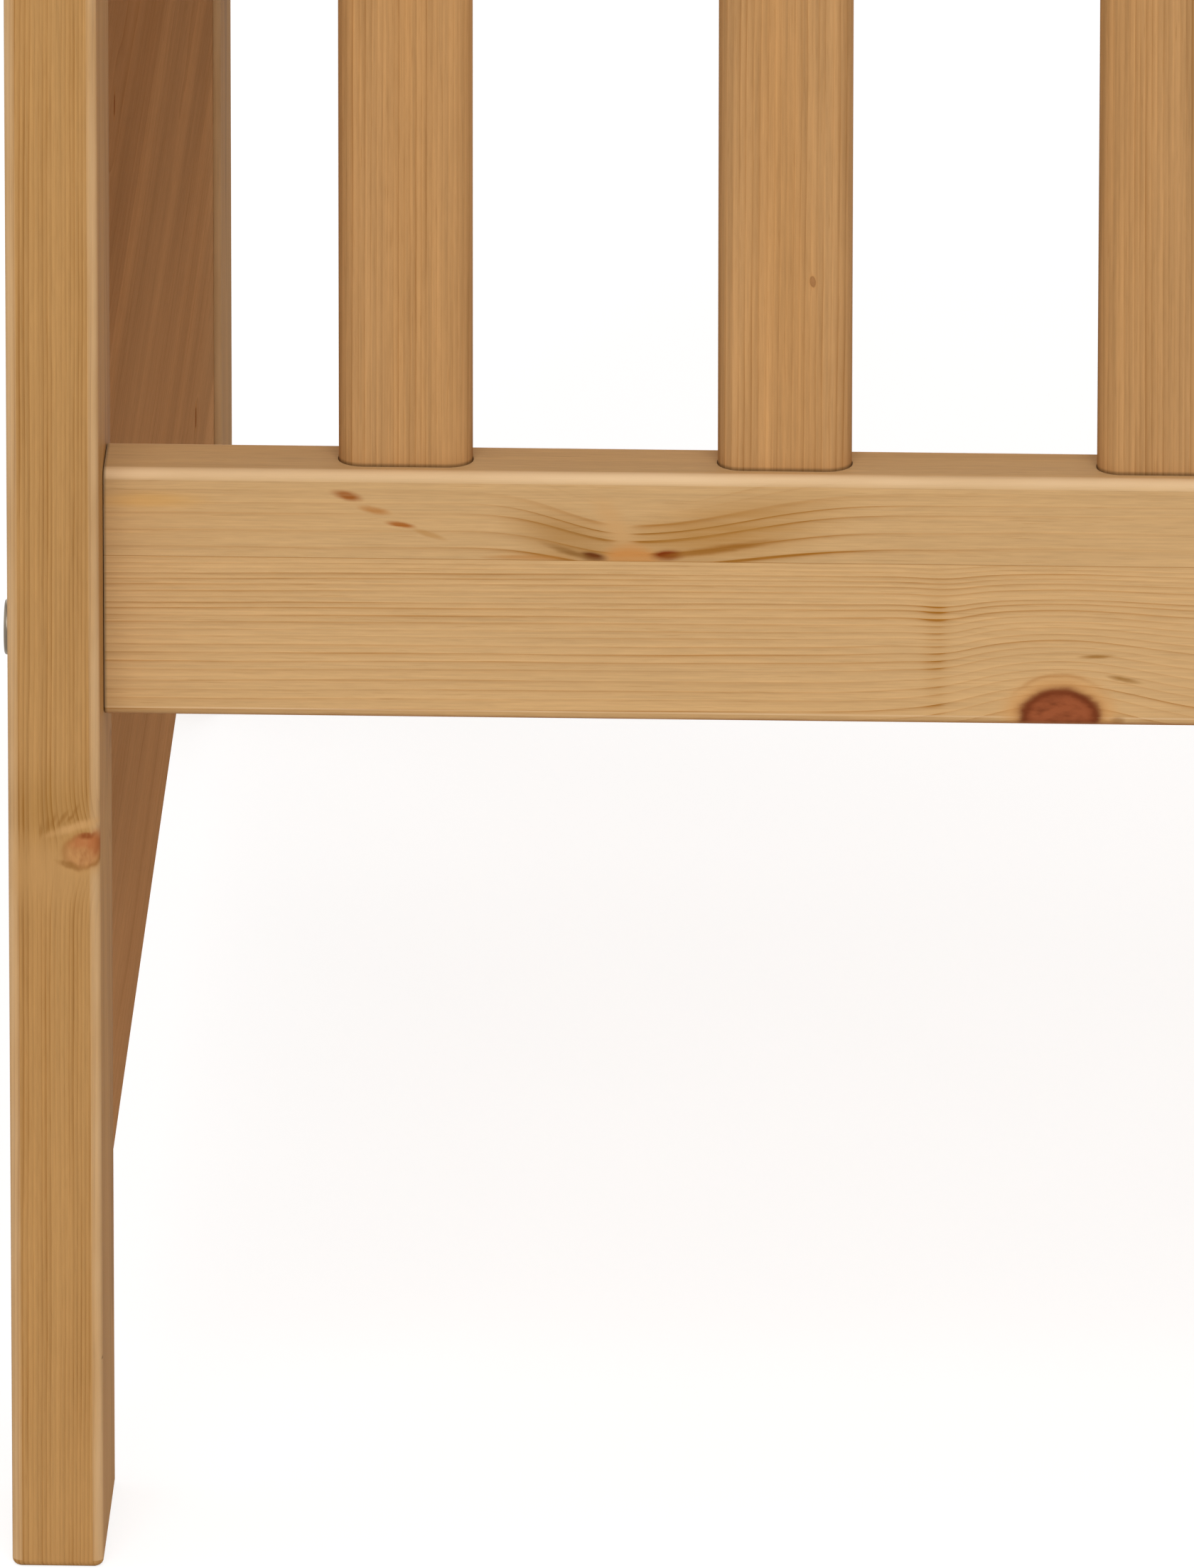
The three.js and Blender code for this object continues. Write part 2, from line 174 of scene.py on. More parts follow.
def loft(rings):
    """A closed shape through rings of equally many points, with a flat face over the first and the last."""
    made = bmesh.new()
    loops = [[made.verts.new(point) for point in points] for points in rings]
    for loop, following in zip(loops, loops[1:]):
        for index, vertex in enumerate(loop):
            after = (index + 1) % len(loop)
            made.faces.new((vertex, loop[after], following[after], following[index]))
    made.faces.new(loops[0])
    made.faces.new(loops[-1])
    bmesh.ops.recalc_face_normals(made, faces=made.faces)
    return made


def extrude(axis, outline, start, end, centre, easing=0.0):
    """An outline run along an axis from start to end, with both ends rounded by the easing."""
    if easing == 0.0:
        return loft([ring(axis, outline, start, centre), ring(axis, outline, end, centre)])
    rings = []
    for step in range(EASING_STEPS + 1):
        turn = step / EASING_STEPS * math.pi / 2
        drawn_in = easing * (1 - math.sin(turn))
        rings.append((start + easing * (1 - math.cos(turn)), drawn_in))
    rings += [(start + end - place, drawn_in) for place, drawn_in in reversed(rings)]
    return loft([ring(axis, inset(outline, drawn_in), place, centre) for place, drawn_in in rings])


def bar(axis, low, high, radius, easing=0.0, high_radius=None):
    """A bar that fills the box between two corners, with its long edges and its ends rounded."""
    index = AXIS[axis]
    width, height = [high[way] - low[way] for way in range(3) if way != index]
    outline = rounded_outline(width, height, radius, high_radius or radius)
    centre = [(a + b) / 2 for a, b in zip(low, high)]
    return extrude(axis, outline, low[index], high[index], centre, easing)


def block(low, high):
    """A plain box between two corners, to cut or join with."""
    centre = [(a + b) / 2 for a, b in zip(low, high)]
    half_x, half_y = (high[0] - low[0]) / 2, (high[1] - low[1]) / 2
    outline = [(-half_x, -half_y), (half_x, -half_y), (half_x, half_y), (-half_x, half_y)]
    return loft([ring("z", outline, low[2], centre), ring("z", outline, high[2], centre)])


def turned(axis, profile, centre, steps=ROUND_STEPS):
    """A round shape along an axis. The profile is a list of a radius and a place on the axis."""
    rings = []
    for radius, place in profile:
        angles = [2 * math.pi * step / steps for step in range(steps)]
        outline = [(radius * math.cos(angle), radius * math.sin(angle)) for angle in angles]
        rings.append(ring(axis, outline, place, centre))
    return loft(rings)


def together(shapes):
    """Several shapes as one mesh, each still closed in itself."""
    mesh = bpy.data.meshes.new("shape")
    joined = bmesh.new()
    for shape in shapes:
        shape.to_mesh(mesh)
        joined.from_mesh(mesh)
        shape.free()
    bpy.data.meshes.remove(mesh)
    return joined


def new_object(name, made):
    mesh = bpy.data.meshes.new(name)
    made.to_mesh(mesh)
    made.free()
    item = bpy.data.objects.new(name, mesh)
    bpy.context.scene.collection.objects.link(item)
    return item


def combine(item, operation, shapes):
    """Joins shapes on to an object or cuts them away."""
    tool = new_object("tool", together(shapes))
    modifier = item.modifiers.new("work", "BOOLEAN")
    modifier.operation = operation
    modifier.solver = "EXACT"
    modifier.object = tool
    bpy.context.view_layer.update()
    evaluated = item.evaluated_get(bpy.context.evaluated_depsgraph_get())
    combined = bpy.data.meshes.new_from_object(evaluated)
    item.modifiers.remove(modifier)
    item.data = combined
    bpy.data.objects.remove(tool)


def worked(name, made, cuts=(), joins=()):
    """An object of the shape, with some shapes joined on and others cut away."""
    item = new_object(name, made)
    if joins:
        combine(item, "UNION", joins)
    if cuts:
        combine(item, "DIFFERENCE", cuts)
    return item


# Wood

def split_at(item, axis, places):
    """Cuts the mesh's faces along planes square to an axis, so that a glue line runs along edges."""
    made = bmesh.new()
    made.from_mesh(item.data)
    normal = Vector((0, 0, 0))
    normal[AXIS[axis]] = 1
    for place in places:
        everything = made.verts[:] + made.edges[:] + made.faces[:]
        bmesh.ops.bisect_plane(made, geom=everything, plane_co=normal * place, plane_no=normal, dist=1e-6)
    made.to_mesh(item.data)
    made.free()


# How a face's normal tells apart the wood's ends, flat faces and rounded edges, which get a painted highlight
END_FACING = 0.8
FLAT_SLANT = 0.03
EDGE_HIGHLIGHT = 0.35
CORNER_HIGHLIGHT = 1.3


def store(mesh, name, kind, domain, values):
    attribute = mesh.attributes.new(name, kind, domain)
    field = "vector" if kind == "FLOAT_VECTOR" else "value"
    attribute.data.foreach_set(field, np.asarray(values, np.float32).ravel())


def read(items, name, width=1, kind=float):
    """One property of all vertices, corners or faces, as one row for each."""
    values = np.zeros(len(items) * width, kind)
    items.foreach_get(name, values)
    return values.reshape(-1, width) if width > 1 else values


def add_grain(item, along, across, seams, piths, shifts, tones):
    """Says for every corner of every face where it lies in its own strip of wood.

    The strips lie side by side between the seams. A pith is the middle of the tree, measured from the strip's
    own middle; a shift moves the strip along the tree, so that no two strips show the same piece of it.
    """
    mesh = item.data
    places = read(mesh.vertices, "co", 3)
    corner_vertex = read(mesh.loops, "vertex_index", kind=int)
    corners_in_face = read(mesh.polygons, "loop_total", kind=int)
    face_middle = read(mesh.polygons, "center", 3)
    face_normal = read(mesh.polygons, "normal", 3)

    u, v = AXIS[along], AXIS[across]
    w = sum(AXIS.values()) - u - v
    low, high = places.min(axis=0), places.max(axis=0)
    limits = np.array([low[v], *seams, high[v]])
    middles = (limits[:-1] + limits[1:]) / 2
    strip = np.clip(np.searchsorted(limits, face_middle[:, v]) - 1, 0, len(middles) - 1)
    corner_strip = np.repeat(strip, corners_in_face)
    corner_place = places[corner_vertex]
    piths = np.array(piths)
    grain = np.stack((
        corner_place[:, u] + np.array(shifts)[corner_strip],
        corner_place[:, v] - middles[corner_strip] - piths[corner_strip, 0],
        corner_place[:, w] - (low[w] + high[w]) / 2 - piths[corner_strip, 1],
    ), axis=1)
    store(mesh, "grain", "FLOAT_VECTOR", "CORNER", grain)
    store(mesh, "run", "FLOAT", "POINT", places[:, u])
    store(mesh, "field", "FLOAT_VECTOR", "POINT", places[:, [u, v, w]])
    store(mesh, "tone", "FLOAT", "FACE", np.array(tones)[strip])
    store(mesh, "end_grain", "FLOAT", "FACE", np.abs(face_normal[:, u]) > END_FACING)

    seam_distance = np.full(len(places), 1.0)
    for seam in seams:
        seam_distance = np.minimum(seam_distance, np.abs(places[:, v] - seam))
    store(mesh, "seam", "FLOAT", "POINT", seam_distance)

    # Rounded edges get a painted highlight, stronger where two roundings meet at a corner; edges that face
    # downwards get none.
    slant = np.sort(np.abs(face_normal), axis=1)
    highlight = np.clip(EDGE_HIGHLIGHT + CORNER_HIGHLIGHT * slant[:, 1] * slant[:, 2], 0, 1)
    rounded = np.where(slant[:, 1] > FLAT_SLANT, highlight, 0.0)
    store(mesh, "edge", "FLOAT", "FACE", np.where(face_normal[:, 2] < -0.1, 0.0, rounded))


def smooth(item, angle=35):
    """Smooth shading over the rounded edges, flat over the large faces."""
    item.data.shade_smooth()
    item.data.set_sharp_from_angle(angle=math.radians(angle))
    weighted = item.modifiers.new("even normals", "WEIGHTED_NORMAL")
    weighted.weight = 100
    weighted.keep_sharp = True


def finish_piece(item, node, material):
    item.name = f"{node}_finished"
    item.data.materials.clear()
    item.data.materials.append(material)
    smooth(item)
    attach(item, "root")
    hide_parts(node)


TONE_RANGE = 0.04


def finish_wood(item, node, material, along, across, seams=(), sawn="flat", tone=0.0, piths=None,
                shifts=None, tones=None):
    """Gives a piece its grain, its material and its place in the model."""
    if seams:
        split_at(item, across, seams)
    dice = random.Random(node)
    count = len(seams) + 1
    if piths is None:
        piths = []
        for _ in range(count):
            near = dice.uniform(-12, 12) * MM
            far = dice.choice((-1, 1)) * dice.uniform(45, 75) * MM
            piths.append((near, far) if sawn == "flat" else (1.6 * far, near))
    if shifts is None:
        shifts = [dice.uniform(1, 30) for _ in range(count)]
    if tones is None:
        tones = [tone + (dice.uniform(-TONE_RANGE, TONE_RANGE) if count > 1 else 0.0) for _ in range(count)]
    add_grain(item, along, across, list(seams), piths, shifts, tones)
    finish_piece(item, node, material)


# Materials

def srgb(red, green, blue):
    """A colour as it is seen on a screen, 0 to 255, as the shader's own linear colour."""
    def linear(value):
        value /= 255
        return value / 12.92 if value <= 0.04045 else ((value + 0.055) / 1.055) ** 2.4
    return (linear(red), linear(green), linear(blue), 1.0)


class Value:
    """A number, vector or colour in a material, worked out for every point. Its sums are plain sums."""

    def __init__(self, socket, work):
        self.socket, self.work = socket, work

    def __add__(self, other):
        return self.work("ADD", self, other)

    def __radd__(self, other):
        return self.work("ADD", other, self)

    def __sub__(self, other):
        return self.work("SUBTRACT", self, other)

    def __rsub__(self, other):
        return self.work("SUBTRACT", other, self)

    def __mul__(self, other):
        return self.work("MULTIPLY", self, other)

    def __rmul__(self, other):
        return self.work("MULTIPLY", other, self)

    def __truediv__(self, other):
        return self.work("DIVIDE", self, other)

    def __gt__(self, other):
        return self.work("GREATER_THAN", self, other)

    def __lt__(self, other):
        return self.work("LESS_THAN", self, other)

    def __abs__(self):
        return self.work("ABSOLUTE", self)

    def exponential(self):
        return self.work("EXPONENT", self)


class Shader:
    """The nodes of a new material or world, with short calls that add nodes and link them."""

    def __init__(self, owner, surface="BsdfPrincipled", end="OutputMaterial"):
        owner.use_nodes = True
        self.nodes, self.links = owner.node_tree.nodes, owner.node_tree.links
        self.nodes.clear()
        self.surface = self.add(surface)
        self.add(end, self.surface)

    def value(self, socket):
        return Value(socket, self.math if socket.type == "VALUE" else self.vector)

    def put(self, socket, value):
        if isinstance(value, Value):
            self.links.new(value.socket, socket)
        elif isinstance(value, bpy.types.Node):
            self.links.new(value.outputs[0], socket)
        else:
            socket.default_value = value[:3] if socket.type == "VECTOR" else value

    def add(self, kind, *values):
        """A new node with values for its first inputs."""
        node = self.nodes.new(f"ShaderNode{kind}")
        for socket, value in zip(node.inputs, values):
            self.put(socket, value)
        return node

    def set(self, **values):
        """Sets inputs of the surface shader; an underscore stands for a space."""
        for name, value in values.items():
            self.put(self.surface.inputs[name.replace("_", " ")], value)

    def math(self, operation, *values, clamp=False):
        node = self.add("Math", *values)
        node.operation = operation
        node.use_clamp = clamp
        return self.value(node.outputs[0])

    def vector(self, operation, first, second):
        node = self.add("VectorMath", first, second)
        node.operation = operation
        return self.value(node.outputs[0])

    def diagonal(self, first, second):
        """The square root of the sum of two squares."""
        return self.math("SQRT", first * first + second * second)

    def parts(self, vector):
        return [self.value(part) for part in self.add("SeparateXYZ", vector).outputs]

    def joined(self, x, y, z):
        return self.value(self.add("CombineXYZ", x, y, z).outputs[0])

    def attribute(self, name, output="Fac"):
        node = self.add("Attribute")
        node.attribute_name = name
        return self.value(node.outputs[output])

    def place(self):
        return self.value(self.add("TexCoord").outputs["Object"])

    def noise(self, vector, scale, detail=2.0, output="Fac"):
        """Noise with its own scale for each part of the vector, per metre."""
        node = self.add("TexNoise")
        self.put(node.inputs["Vector"], vector * scale)
        node.inputs["Scale"].default_value = 1.0
        node.inputs["Detail"].default_value = detail
        return self.value(node.outputs[output])

    def swing(self, vector, scale, detail=2.0):
        """Three noises at once, each of them round 0."""
        return self.noise(vector, scale, detail, "Color") - (0.5, 0.5, 0.5)

    def ramp(self, value, start, end, low=0.0, high=1.0):
        """Rises smoothly from low to high while the value goes from start to end."""
        node = self.add("MapRange", value, start, end, low, high)
        node.interpolation_type = "SMOOTHSTEP"
        return self.value(node.outputs[0])

    def mix(self, amount, first, second):
        node = self.add("Mix")
        node.data_type = "RGBA"
        self.put(node.inputs["Factor"], amount)
        self.put(node.inputs[6], first)
        self.put(node.inputs[7], second)
        return self.value(node.outputs[2])

    def brightness(self, colour, amount):
        """The colour times a number."""
        return colour * self.joined(amount, amount, amount)

    def bump(self, height, depth, strength=1.0):
        """Relief: the height goes from 0 to 1 and the depth is how much that is in metres."""
        node = self.add("Bump", strength, depth)
        self.put(node.inputs["Height"], height)
        self.set(Normal=self.value(node.outputs["Normal"]))


def bell(*offsets_and_widths):
    """A smooth hill that is 1 where all offsets are 0 and falls away over their widths."""
    total = None
    for offset, width in offsets_and_widths:
        ratio = offset / width
        square = ratio * ratio
        total = square if total is None else total + square
    return (total * -1.0).exponential()


def two_sided_bell(offset, widths):
    """The same hill with its own width for the side below 0 and for the side above it."""
    return bell((offset, (offset < 0.0) * (widths[0] - widths[1]) + widths[1]))


def between(value, limits):
    """1 where the value is between the two limits, else 0."""
    return (value > limits[0]) * (value < limits[1])


def oval(shader, along, across, mark):
    """How far a point is from the middle of a slanted oval, where 1 is the oval's edge."""
    du = along - mark["at"][0]
    dv = across - mark["at"][1]
    cosine, sine = math.cos(mark["slant"]), math.sin(mark["slant"])
    turned_u = du * cosine + dv * sine
    turned_v = dv * cosine - du * sine
    return shader.diagonal(turned_u / mark["size"][0], turned_v / mark["size"][1])


# Random knots lie in cells of this length and width; a distance of FAR leaves a knot out
KNOT_CELL_LENGTH = 0.34
KNOT_CELL_WIDTH = 0.11
KNOT_RANDOMNESS = 0.55
SMALL_KNOT = 2.5 * MM
LARGE_KNOT = 8 * MM
KNOT_REACH = (26 * MM, 11 * MM)
FAR = 9.0


def bend_round_scattered(shader, grain, radius, share):
    """Bends the rings round random knots. Gives the new radius and how far a knot is, 1 being its edge."""
    along, across, _ = shader.parts(grain)
    scaled = shader.joined(along / KNOT_CELL_LENGTH, across / KNOT_CELL_WIDTH, 0.0)
    voronoi = shader.add("TexVoronoi")
    voronoi.voronoi_dimensions = "2D"
    voronoi.inputs["Scale"].default_value = 1.0
    voronoi.inputs["Randomness"].default_value = KNOT_RANDOMNESS
    shader.put(voronoi.inputs["Vector"], scaled)
    offset_u, offset_v, _ = shader.parts(scaled - shader.value(voronoi.outputs["Position"]))
    dice, dice_size, _ = shader.parts(shader.value(voronoi.outputs["Color"]))
    there = dice < share
    size = shader.ramp(dice_size, 0.0, 1.0, SMALL_KNOT, LARGE_KNOT)
    du, dv = offset_u * KNOT_CELL_LENGTH, offset_v * KNOT_CELL_WIDTH
    radius = radius - bell((du, KNOT_REACH[0]), (dv, KNOT_REACH[1])) * there * size
    return radius, shader.diagonal(du, dv) / size + (1.0 - there) * FAR


# A placed mark's edge wavers by two noises times these lengths, and it fades out at this depth in the wood
WAVER_COARSE = (0.0, 1.4 * MM, 2.4 * MM)
WAVER_FINE = (0.0, 0.5 * MM, 1.3 * MM)
MARK_DEPTH = (2.2 * MM, 3.6 * MM)


class Face:
    """The face that carries placed marks: where a point lies on it, plain and ragged, and how near it is."""

    def __init__(self, shader, plane, depth, quick, fine):
        place = shader.parts(shader.place())
        self.u, self.v = place[AXIS[plane[0]]], place[AXIS[plane[1]]]
        _, ragged_v, ragged_u = shader.parts(quick * WAVER_COARSE + fine * WAVER_FINE)
        self.ragged_u, self.ragged_v = self.u + ragged_u, self.v + ragged_v
        self.near = shader.ramp(abs(place[1] - depth), *MARK_DEPTH, 1.0, 0.0)
        self.too_deep = (1.0 - self.near) * FAR


def bend_round_placed(shader, face, radius, knots, gathers):
    """Bends the rings round placed knots and draws them together. Gives the radius and the knots to paint."""
    marks = []
    for placed in knots:
        du = face.u - placed["at"][0]
        dv = face.v - placed["at"][1]
        radius = radius - bell((du, placed["reach"][0]), (dv, placed["reach"][1])) * placed["bend"]
        if "size" in placed:
            distance = oval(shader, face.ragged_u, face.ragged_v, placed) + face.too_deep
            marks.append((distance, placed["colours"]))
    for gather in gathers:
        hill = two_sided_bell(face.u - gather["at"][0], gather["reach"])
        above = face.v - gather["at"][1]
        radius = radius + hill * ((above * gather["squeeze"] + gather["drop"]) * (above > 0.0))
    return radius, marks


KNOT_COLOURS = {
    "heart": srgb(150, 88, 50),
    "mottle": srgb(124, 66, 36),
    "rim": srgb(108, 58, 30),
    "halo": srgb(190, 130, 72),
    "halo_strength": 0.55,
    "halo_width": 1.1,
    "rim_strength": 0.65,
    "rings": 0.18,
    "strength": 0.95,
    "collar_strength": 0.0,
}


def knot_colour(shader, colour, distance, colours, coarse, fine):
    """Paints a knot over the wood: an orange halo, a dark rim and a mottled heart with faint rings."""
    uneven, mottle, _ = shader.parts(coarse)
    fine_uneven, fine_mottle, _ = shader.parts(fine)
    distance = distance + uneven * 0.36
    distance = distance + fine_uneven * 0.1
    halo = shader.ramp(distance, 1.0 + colours["halo_width"], 1.0, 0.0, colours["halo_strength"])
    colour = shader.mix(halo, colour, colours["halo"])
    if colours["collar_strength"]:
        broken = shader.ramp(mottle, -0.1, 0.12, 0.0, colours["collar_strength"])
        collar = bell((distance - colours["collar"], 0.06)) * broken
        colour = shader.mix(collar, colour, colours["collar_colour"])
    turns = distance * 17.0 + mottle * 11.0
    rings = shader.math("SINE", turns) * colours["rings"] + 0.3
    patches = shader.math("ADD", rings + mottle * 0.9, fine_mottle * 2.2, clamp=True)
    inner = shader.mix(patches, colours["heart"], colours["mottle"])
    cover = shader.ramp(distance, 1.1, 0.88, 0.0, colours["strength"])
    colour = shader.mix(cover, colour, inner)
    rim = bell((distance - 0.93, 0.17))
    return shader.mix(rim * colours["rim_strength"], colour, colours["rim"])


RING_START = 60 * MM
RING_UNEVENNESS = 1.3
TRUNK_TAPER = 0.005
SHARP_EDGE = 0.1 * MM
PALE_WIDTH = 0.35 * MM


def growth_rings(shader, radius, along, ring_width, narrowing, late_width):
    """How dark the late wood and how pale the early wood is at a radius from the pith, each from 0 to 1.

    The ring width is the one at RING_START, and it shrinks further out by a factor e over every narrowing.
    A ring darkens slowly towards its outer edge and ends there sharply, and the next one starts pale.
    """
    growth = ((radius - RING_START) / narrowing).exponential()
    uneven = shader.noise(shader.joined(radius, 0.0, 0.0), (170.0, 1.0, 1.0), 1.0)
    phase = growth * (narrowing / ring_width) + uneven * RING_UNEVENNESS
    number = shader.math("FLOOR", phase)
    width_here = shader.math("DIVIDE", ring_width, growth)
    from_start = (phase - number) * width_here
    to_end = width_here - from_start
    late = (to_end / -late_width).exponential()
    late = shader.math("MAXIMUM", late, (from_start / -SHARP_EDGE).exponential())
    pale = (from_start / -PALE_WIDTH).exponential()
    dice = shader.add("TexWhiteNoise")
    dice.noise_dimensions = "1D"
    shader.put(dice.inputs["W"], number)
    fading = shader.noise(shader.joined(along, radius, 0.0), (16.0, 300.0, 1.0), 4.0)
    by_ring = shader.ramp(shader.value(dice.outputs["Value"]), 0.0, 1.0, 0.35, 1.25)
    return late * (by_ring * shader.ramp(fading, 0.25, 0.75, 0.3, 1.55)), pale


def change_lines(shader, face, radius, line, pale, stretch):
    """Makes the lines of the rings stronger or weaker over a stretch of the face."""
    hill = two_sided_bell(face.u - stretch["at"], stretch["width"]) * between(face.v, stretch["limits"])
    if stretch["beyond"]:
        hill = hill * shader.ramp(radius, *stretch["beyond"])
    change = 1.0 + hill * stretch["strength"]
    return line * change, pale * shader.math("MINIMUM", change, 1.0)


def stained(shader, face, colour, mark, streaks):
    """The colour with one stain over it."""
    away = oval(shader, face.ragged_u, face.ragged_v, mark)
    cover = shader.ramp(away, 1.0 + mark["blur"], 1.0 - mark["blur"], 0.0, mark["strength"])
    cover = shader.math("MULTIPLY", cover, shader.ramp(streaks, 0.3, 0.7, 0.7, 1.25), clamp=True)
    cover = cover * face.near
    if mark["limits"]:
        cover = cover * between(face.v, mark["limits"])
    return shader.mix(cover, colour, mark["colour"])


SEAM_WIDTH = 0.16 * MM
# Painted shade where a piece meets another: how dark it is at the contact, and the distances over which it
# fades
CONTACT_SHADE = 0.5
CONTACT_WIDTH = (0.2 * MM, 1.1 * MM)
WARMER = (1.04, 0.95, 0.8)
DARKER = (0.74, 0.64, 0.48)
END_WARMTH = (1.0, 0.93, 0.86)
SMALL_WAVER = 0.9 * MM
# The colour of the painted highlight on rounded edges
EDGE_HIGHLIGHT_COLOUR = srgb(226, 192, 150)


def pine(name, early, late, ring_width, narrowing=0.15, contrast=0.7, late_width=0.4 * MM, wander=1.5,
         knot_share=0.0, knots=(), gathers=(), spots=(), bands=(), plane=None, depth=0.0, edge_highlight=0.0,
         end_dark=0.72, clouding=0.2, streaking=0.22, bandings=0.0, warming=0.3, joint_strength=0.55,
         shaded_contacts=(), roughness=0.7, coat=0.04, mirror=0.02):
    """Lacquered pine. Its rings are cylinders round the pith, bent by noise and by the knots.

    Knots, gathers, bands and spots are placed in the crib's own frame, on the plane that names their two
    axes, and the depth is the place of that plane from front to back.
    """
    material = bpy.data.materials.new(name)
    shader = Shader(material)
    grain = shader.attribute("grain", "Vector")
    run = shader.attribute("run")
    slow = shader.swing(grain, (1.7, 9.0, 9.0))
    quick = shader.swing(grain, (14.0, 90.0, 90.0))
    fine = shader.swing(grain, (260.0, 620.0, 620.0), 3.0)
    waver = 4 * wander * MM
    bent = grain + slow * (0.0, waver, waver) + quick * (0.0, SMALL_WAVER, SMALL_WAVER)
    along, across, deep = shader.parts(bent)
    radius = shader.diagonal(across, deep) - run * TRUNK_TAPER

    marks = []
    if knot_share > 0:
        radius, distance = bend_round_scattered(shader, grain, radius, knot_share)
        marks.append((distance, KNOT_COLOURS))
    if plane:
        face = Face(shader, plane, depth, quick, fine)
        radius, placed = bend_round_placed(shader, face, radius, knots, gathers)
        marks += placed
    line, pale = growth_rings(shader, radius, along, ring_width, narrowing, late_width)
    for stretch in bands:
        line, pale = change_lines(shader, face, radius, line, pale, stretch)

    fibres = shader.noise(grain, (45.0, 2400.0, 2400.0), 3.0)
    streaks = shader.noise(grain, (9.0, 520.0, 520.0), 3.0)
    clouds = shader.noise(grain, (3.5, 22.0, 22.0), 3.0)
    warmth = shader.noise(grain + (5.0, 0.3, 0.7), (2.3, 35.0, 35.0), 2.0)
    ducts = shader.noise(grain + (0.0, 0.2, 0.1), (110.0, 3800.0, 3800.0), 0.0)
    flecks = shader.noise(grain + (3.0, 0.4, 0.2), (150.0, 1900.0, 1900.0), 2.0)
    broad = shader.noise(shader.attribute("field", "Vector"), (1.6, 48.0, 48.0), 2.0)

    colour = shader.mix(shader.math("MULTIPLY", line, contrast, clamp=True), early, late)
    amount = (fibres - 0.5) * 0.24 + 1.0
    for noise, weight in ((streaks, streaking), (clouds, clouding), (flecks, 0.2), (broad, bandings)):
        amount = amount + (noise - 0.5) * weight
    amount = amount + pale * 0.1 + shader.attribute("tone")
    colour = shader.brightness(colour, amount)
    colour = shader.mix(shader.ramp(warmth, 0.45, 0.75, 0.0, warming), colour, colour * WARMER)
    colour = shader.mix(shader.ramp(ducts, 0.72, 0.8, 0.0, 0.3), colour, colour * DARKER)
    # A painted highlight on the rounded edges, except those that face downwards; its strength is uneven along
    # the grain.
    if edge_highlight:
        highlight_strength = shader.noise(grain, (25.0, 120.0, 120.0), 2.0)
        highlight_strength = shader.ramp(highlight_strength, 0.3, 0.7, 0.75 * edge_highlight, 1.15 * edge_highlight)
        colour = shader.mix(shader.attribute("edge") * highlight_strength, colour, EDGE_HIGHLIGHT_COLOUR)
    for distance, colours in marks:
        colour = knot_colour(shader, colour, distance, colours, quick, fine)
    for mark in spots:
        colour = stained(shader, face, colour, mark, streaks)

    end_grain = shader.attribute("end_grain")
    colour = shader.mix(end_grain, colour, colour * tuple(end_dark * part for part in END_WARMTH))
    joint = shader.ramp(shader.attribute("seam"), 0.0, SEAM_WIDTH, 1.0, 0.0)
    colour = shader.mix(joint * joint_strength, colour, late)
    # Painted shade near the places where the piece meets another
    for contact in shaded_contacts:
        shade = shader.ramp(abs(run - contact), *CONTACT_WIDTH, CONTACT_SHADE, 1.0)
        colour = shader.brightness(colour, shade)

    shader.set(Base_Color=colour, Specular_IOR_Level=mirror, Coat_Weight=coat, Coat_Roughness=0.4)
    shader.set(Roughness=(roughness - 0.08) + fibres * 0.16 - line * 0.07 + end_grain * 0.15)
    shader.bump(line * 0.5 + fibres * 0.35 - joint * 1.6, 0.035 * MM)
    return material


def metal(name, colour, roughness):
    """Plated steel with fine turning marks and a little tarnish."""
    material = bpy.data.materials.new(name)
    shader = Shader(material)
    place = shader.place()
    tarnish = shader.noise(place, (260.0, 260.0, 260.0), 4.0)
    marks = shader.noise(place, (4000.0, 900.0, 900.0), 2.0)
    amount = shader.ramp(tarnish, 0.3, 0.7, 0.82, 1.12)
    shader.set(Base_Color=shader.brightness(colour, amount), Metallic=1.0)
    shader.set(Roughness=shader.ramp(tarnish, 0.3, 0.75, roughness - 0.08, roughness + 0.12))
    shader.bump(marks, 0.01 * MM, 0.5)
    return material


# Marks at given places on a face

def in_metres(lengths):
    return tuple(length * MM for length in lengths)


def spot(place, size, strength, colour, slant=0.0, blur=0.6, limits=None):
    """A stain: its middle and half its length and height in mm, its strength, and its slant in radians."""
    made = {"at": in_metres(place), "size": in_metres(size), "strength": strength, "colour": srgb(*colour)}
    return {**made, "slant": slant, "blur": blur, "limits": limits}


def band(place, widths, strength, limits, beyond=None):
    """A stretch where the rings' lines are stronger or weaker; its middle and its two widths are in mm."""
    made = {"at": place * MM, "width": in_metres(widths), "strength": strength}
    return {**made, "limits": limits, "beyond": beyond}


def knot(place, reach, bend, size=None, slant=0.0, **colours):
    """A knot that bends the rings over its reach. Lengths are in mm, and one without a size isn't painted."""
    made = {"at": in_metres(place), "reach": in_metres(reach), "bend": bend * MM, "slant": slant}
    if size:
        made.update(size=in_metres(size), colours={**KNOT_COLOURS, **colours})
    return made


# Colours of the wood and of its lines
HONEY = srgb(200, 161, 112)
HONEY_LINE = srgb(160, 104, 36)
LEG_HONEY = srgb(182, 138, 85)
LEG_LINE = srgb(142, 95, 42)
SLAT_HONEY = srgb(183, 139, 91)
SLAT_LINE = srgb(146, 98, 48)
BOARD_HONEY = srgb(186, 139, 95)
BOARD_LINE = srgb(148, 100, 60)
RAW_PINE = srgb(222, 186, 136)
RAW_LINE = srgb(180, 130, 80)

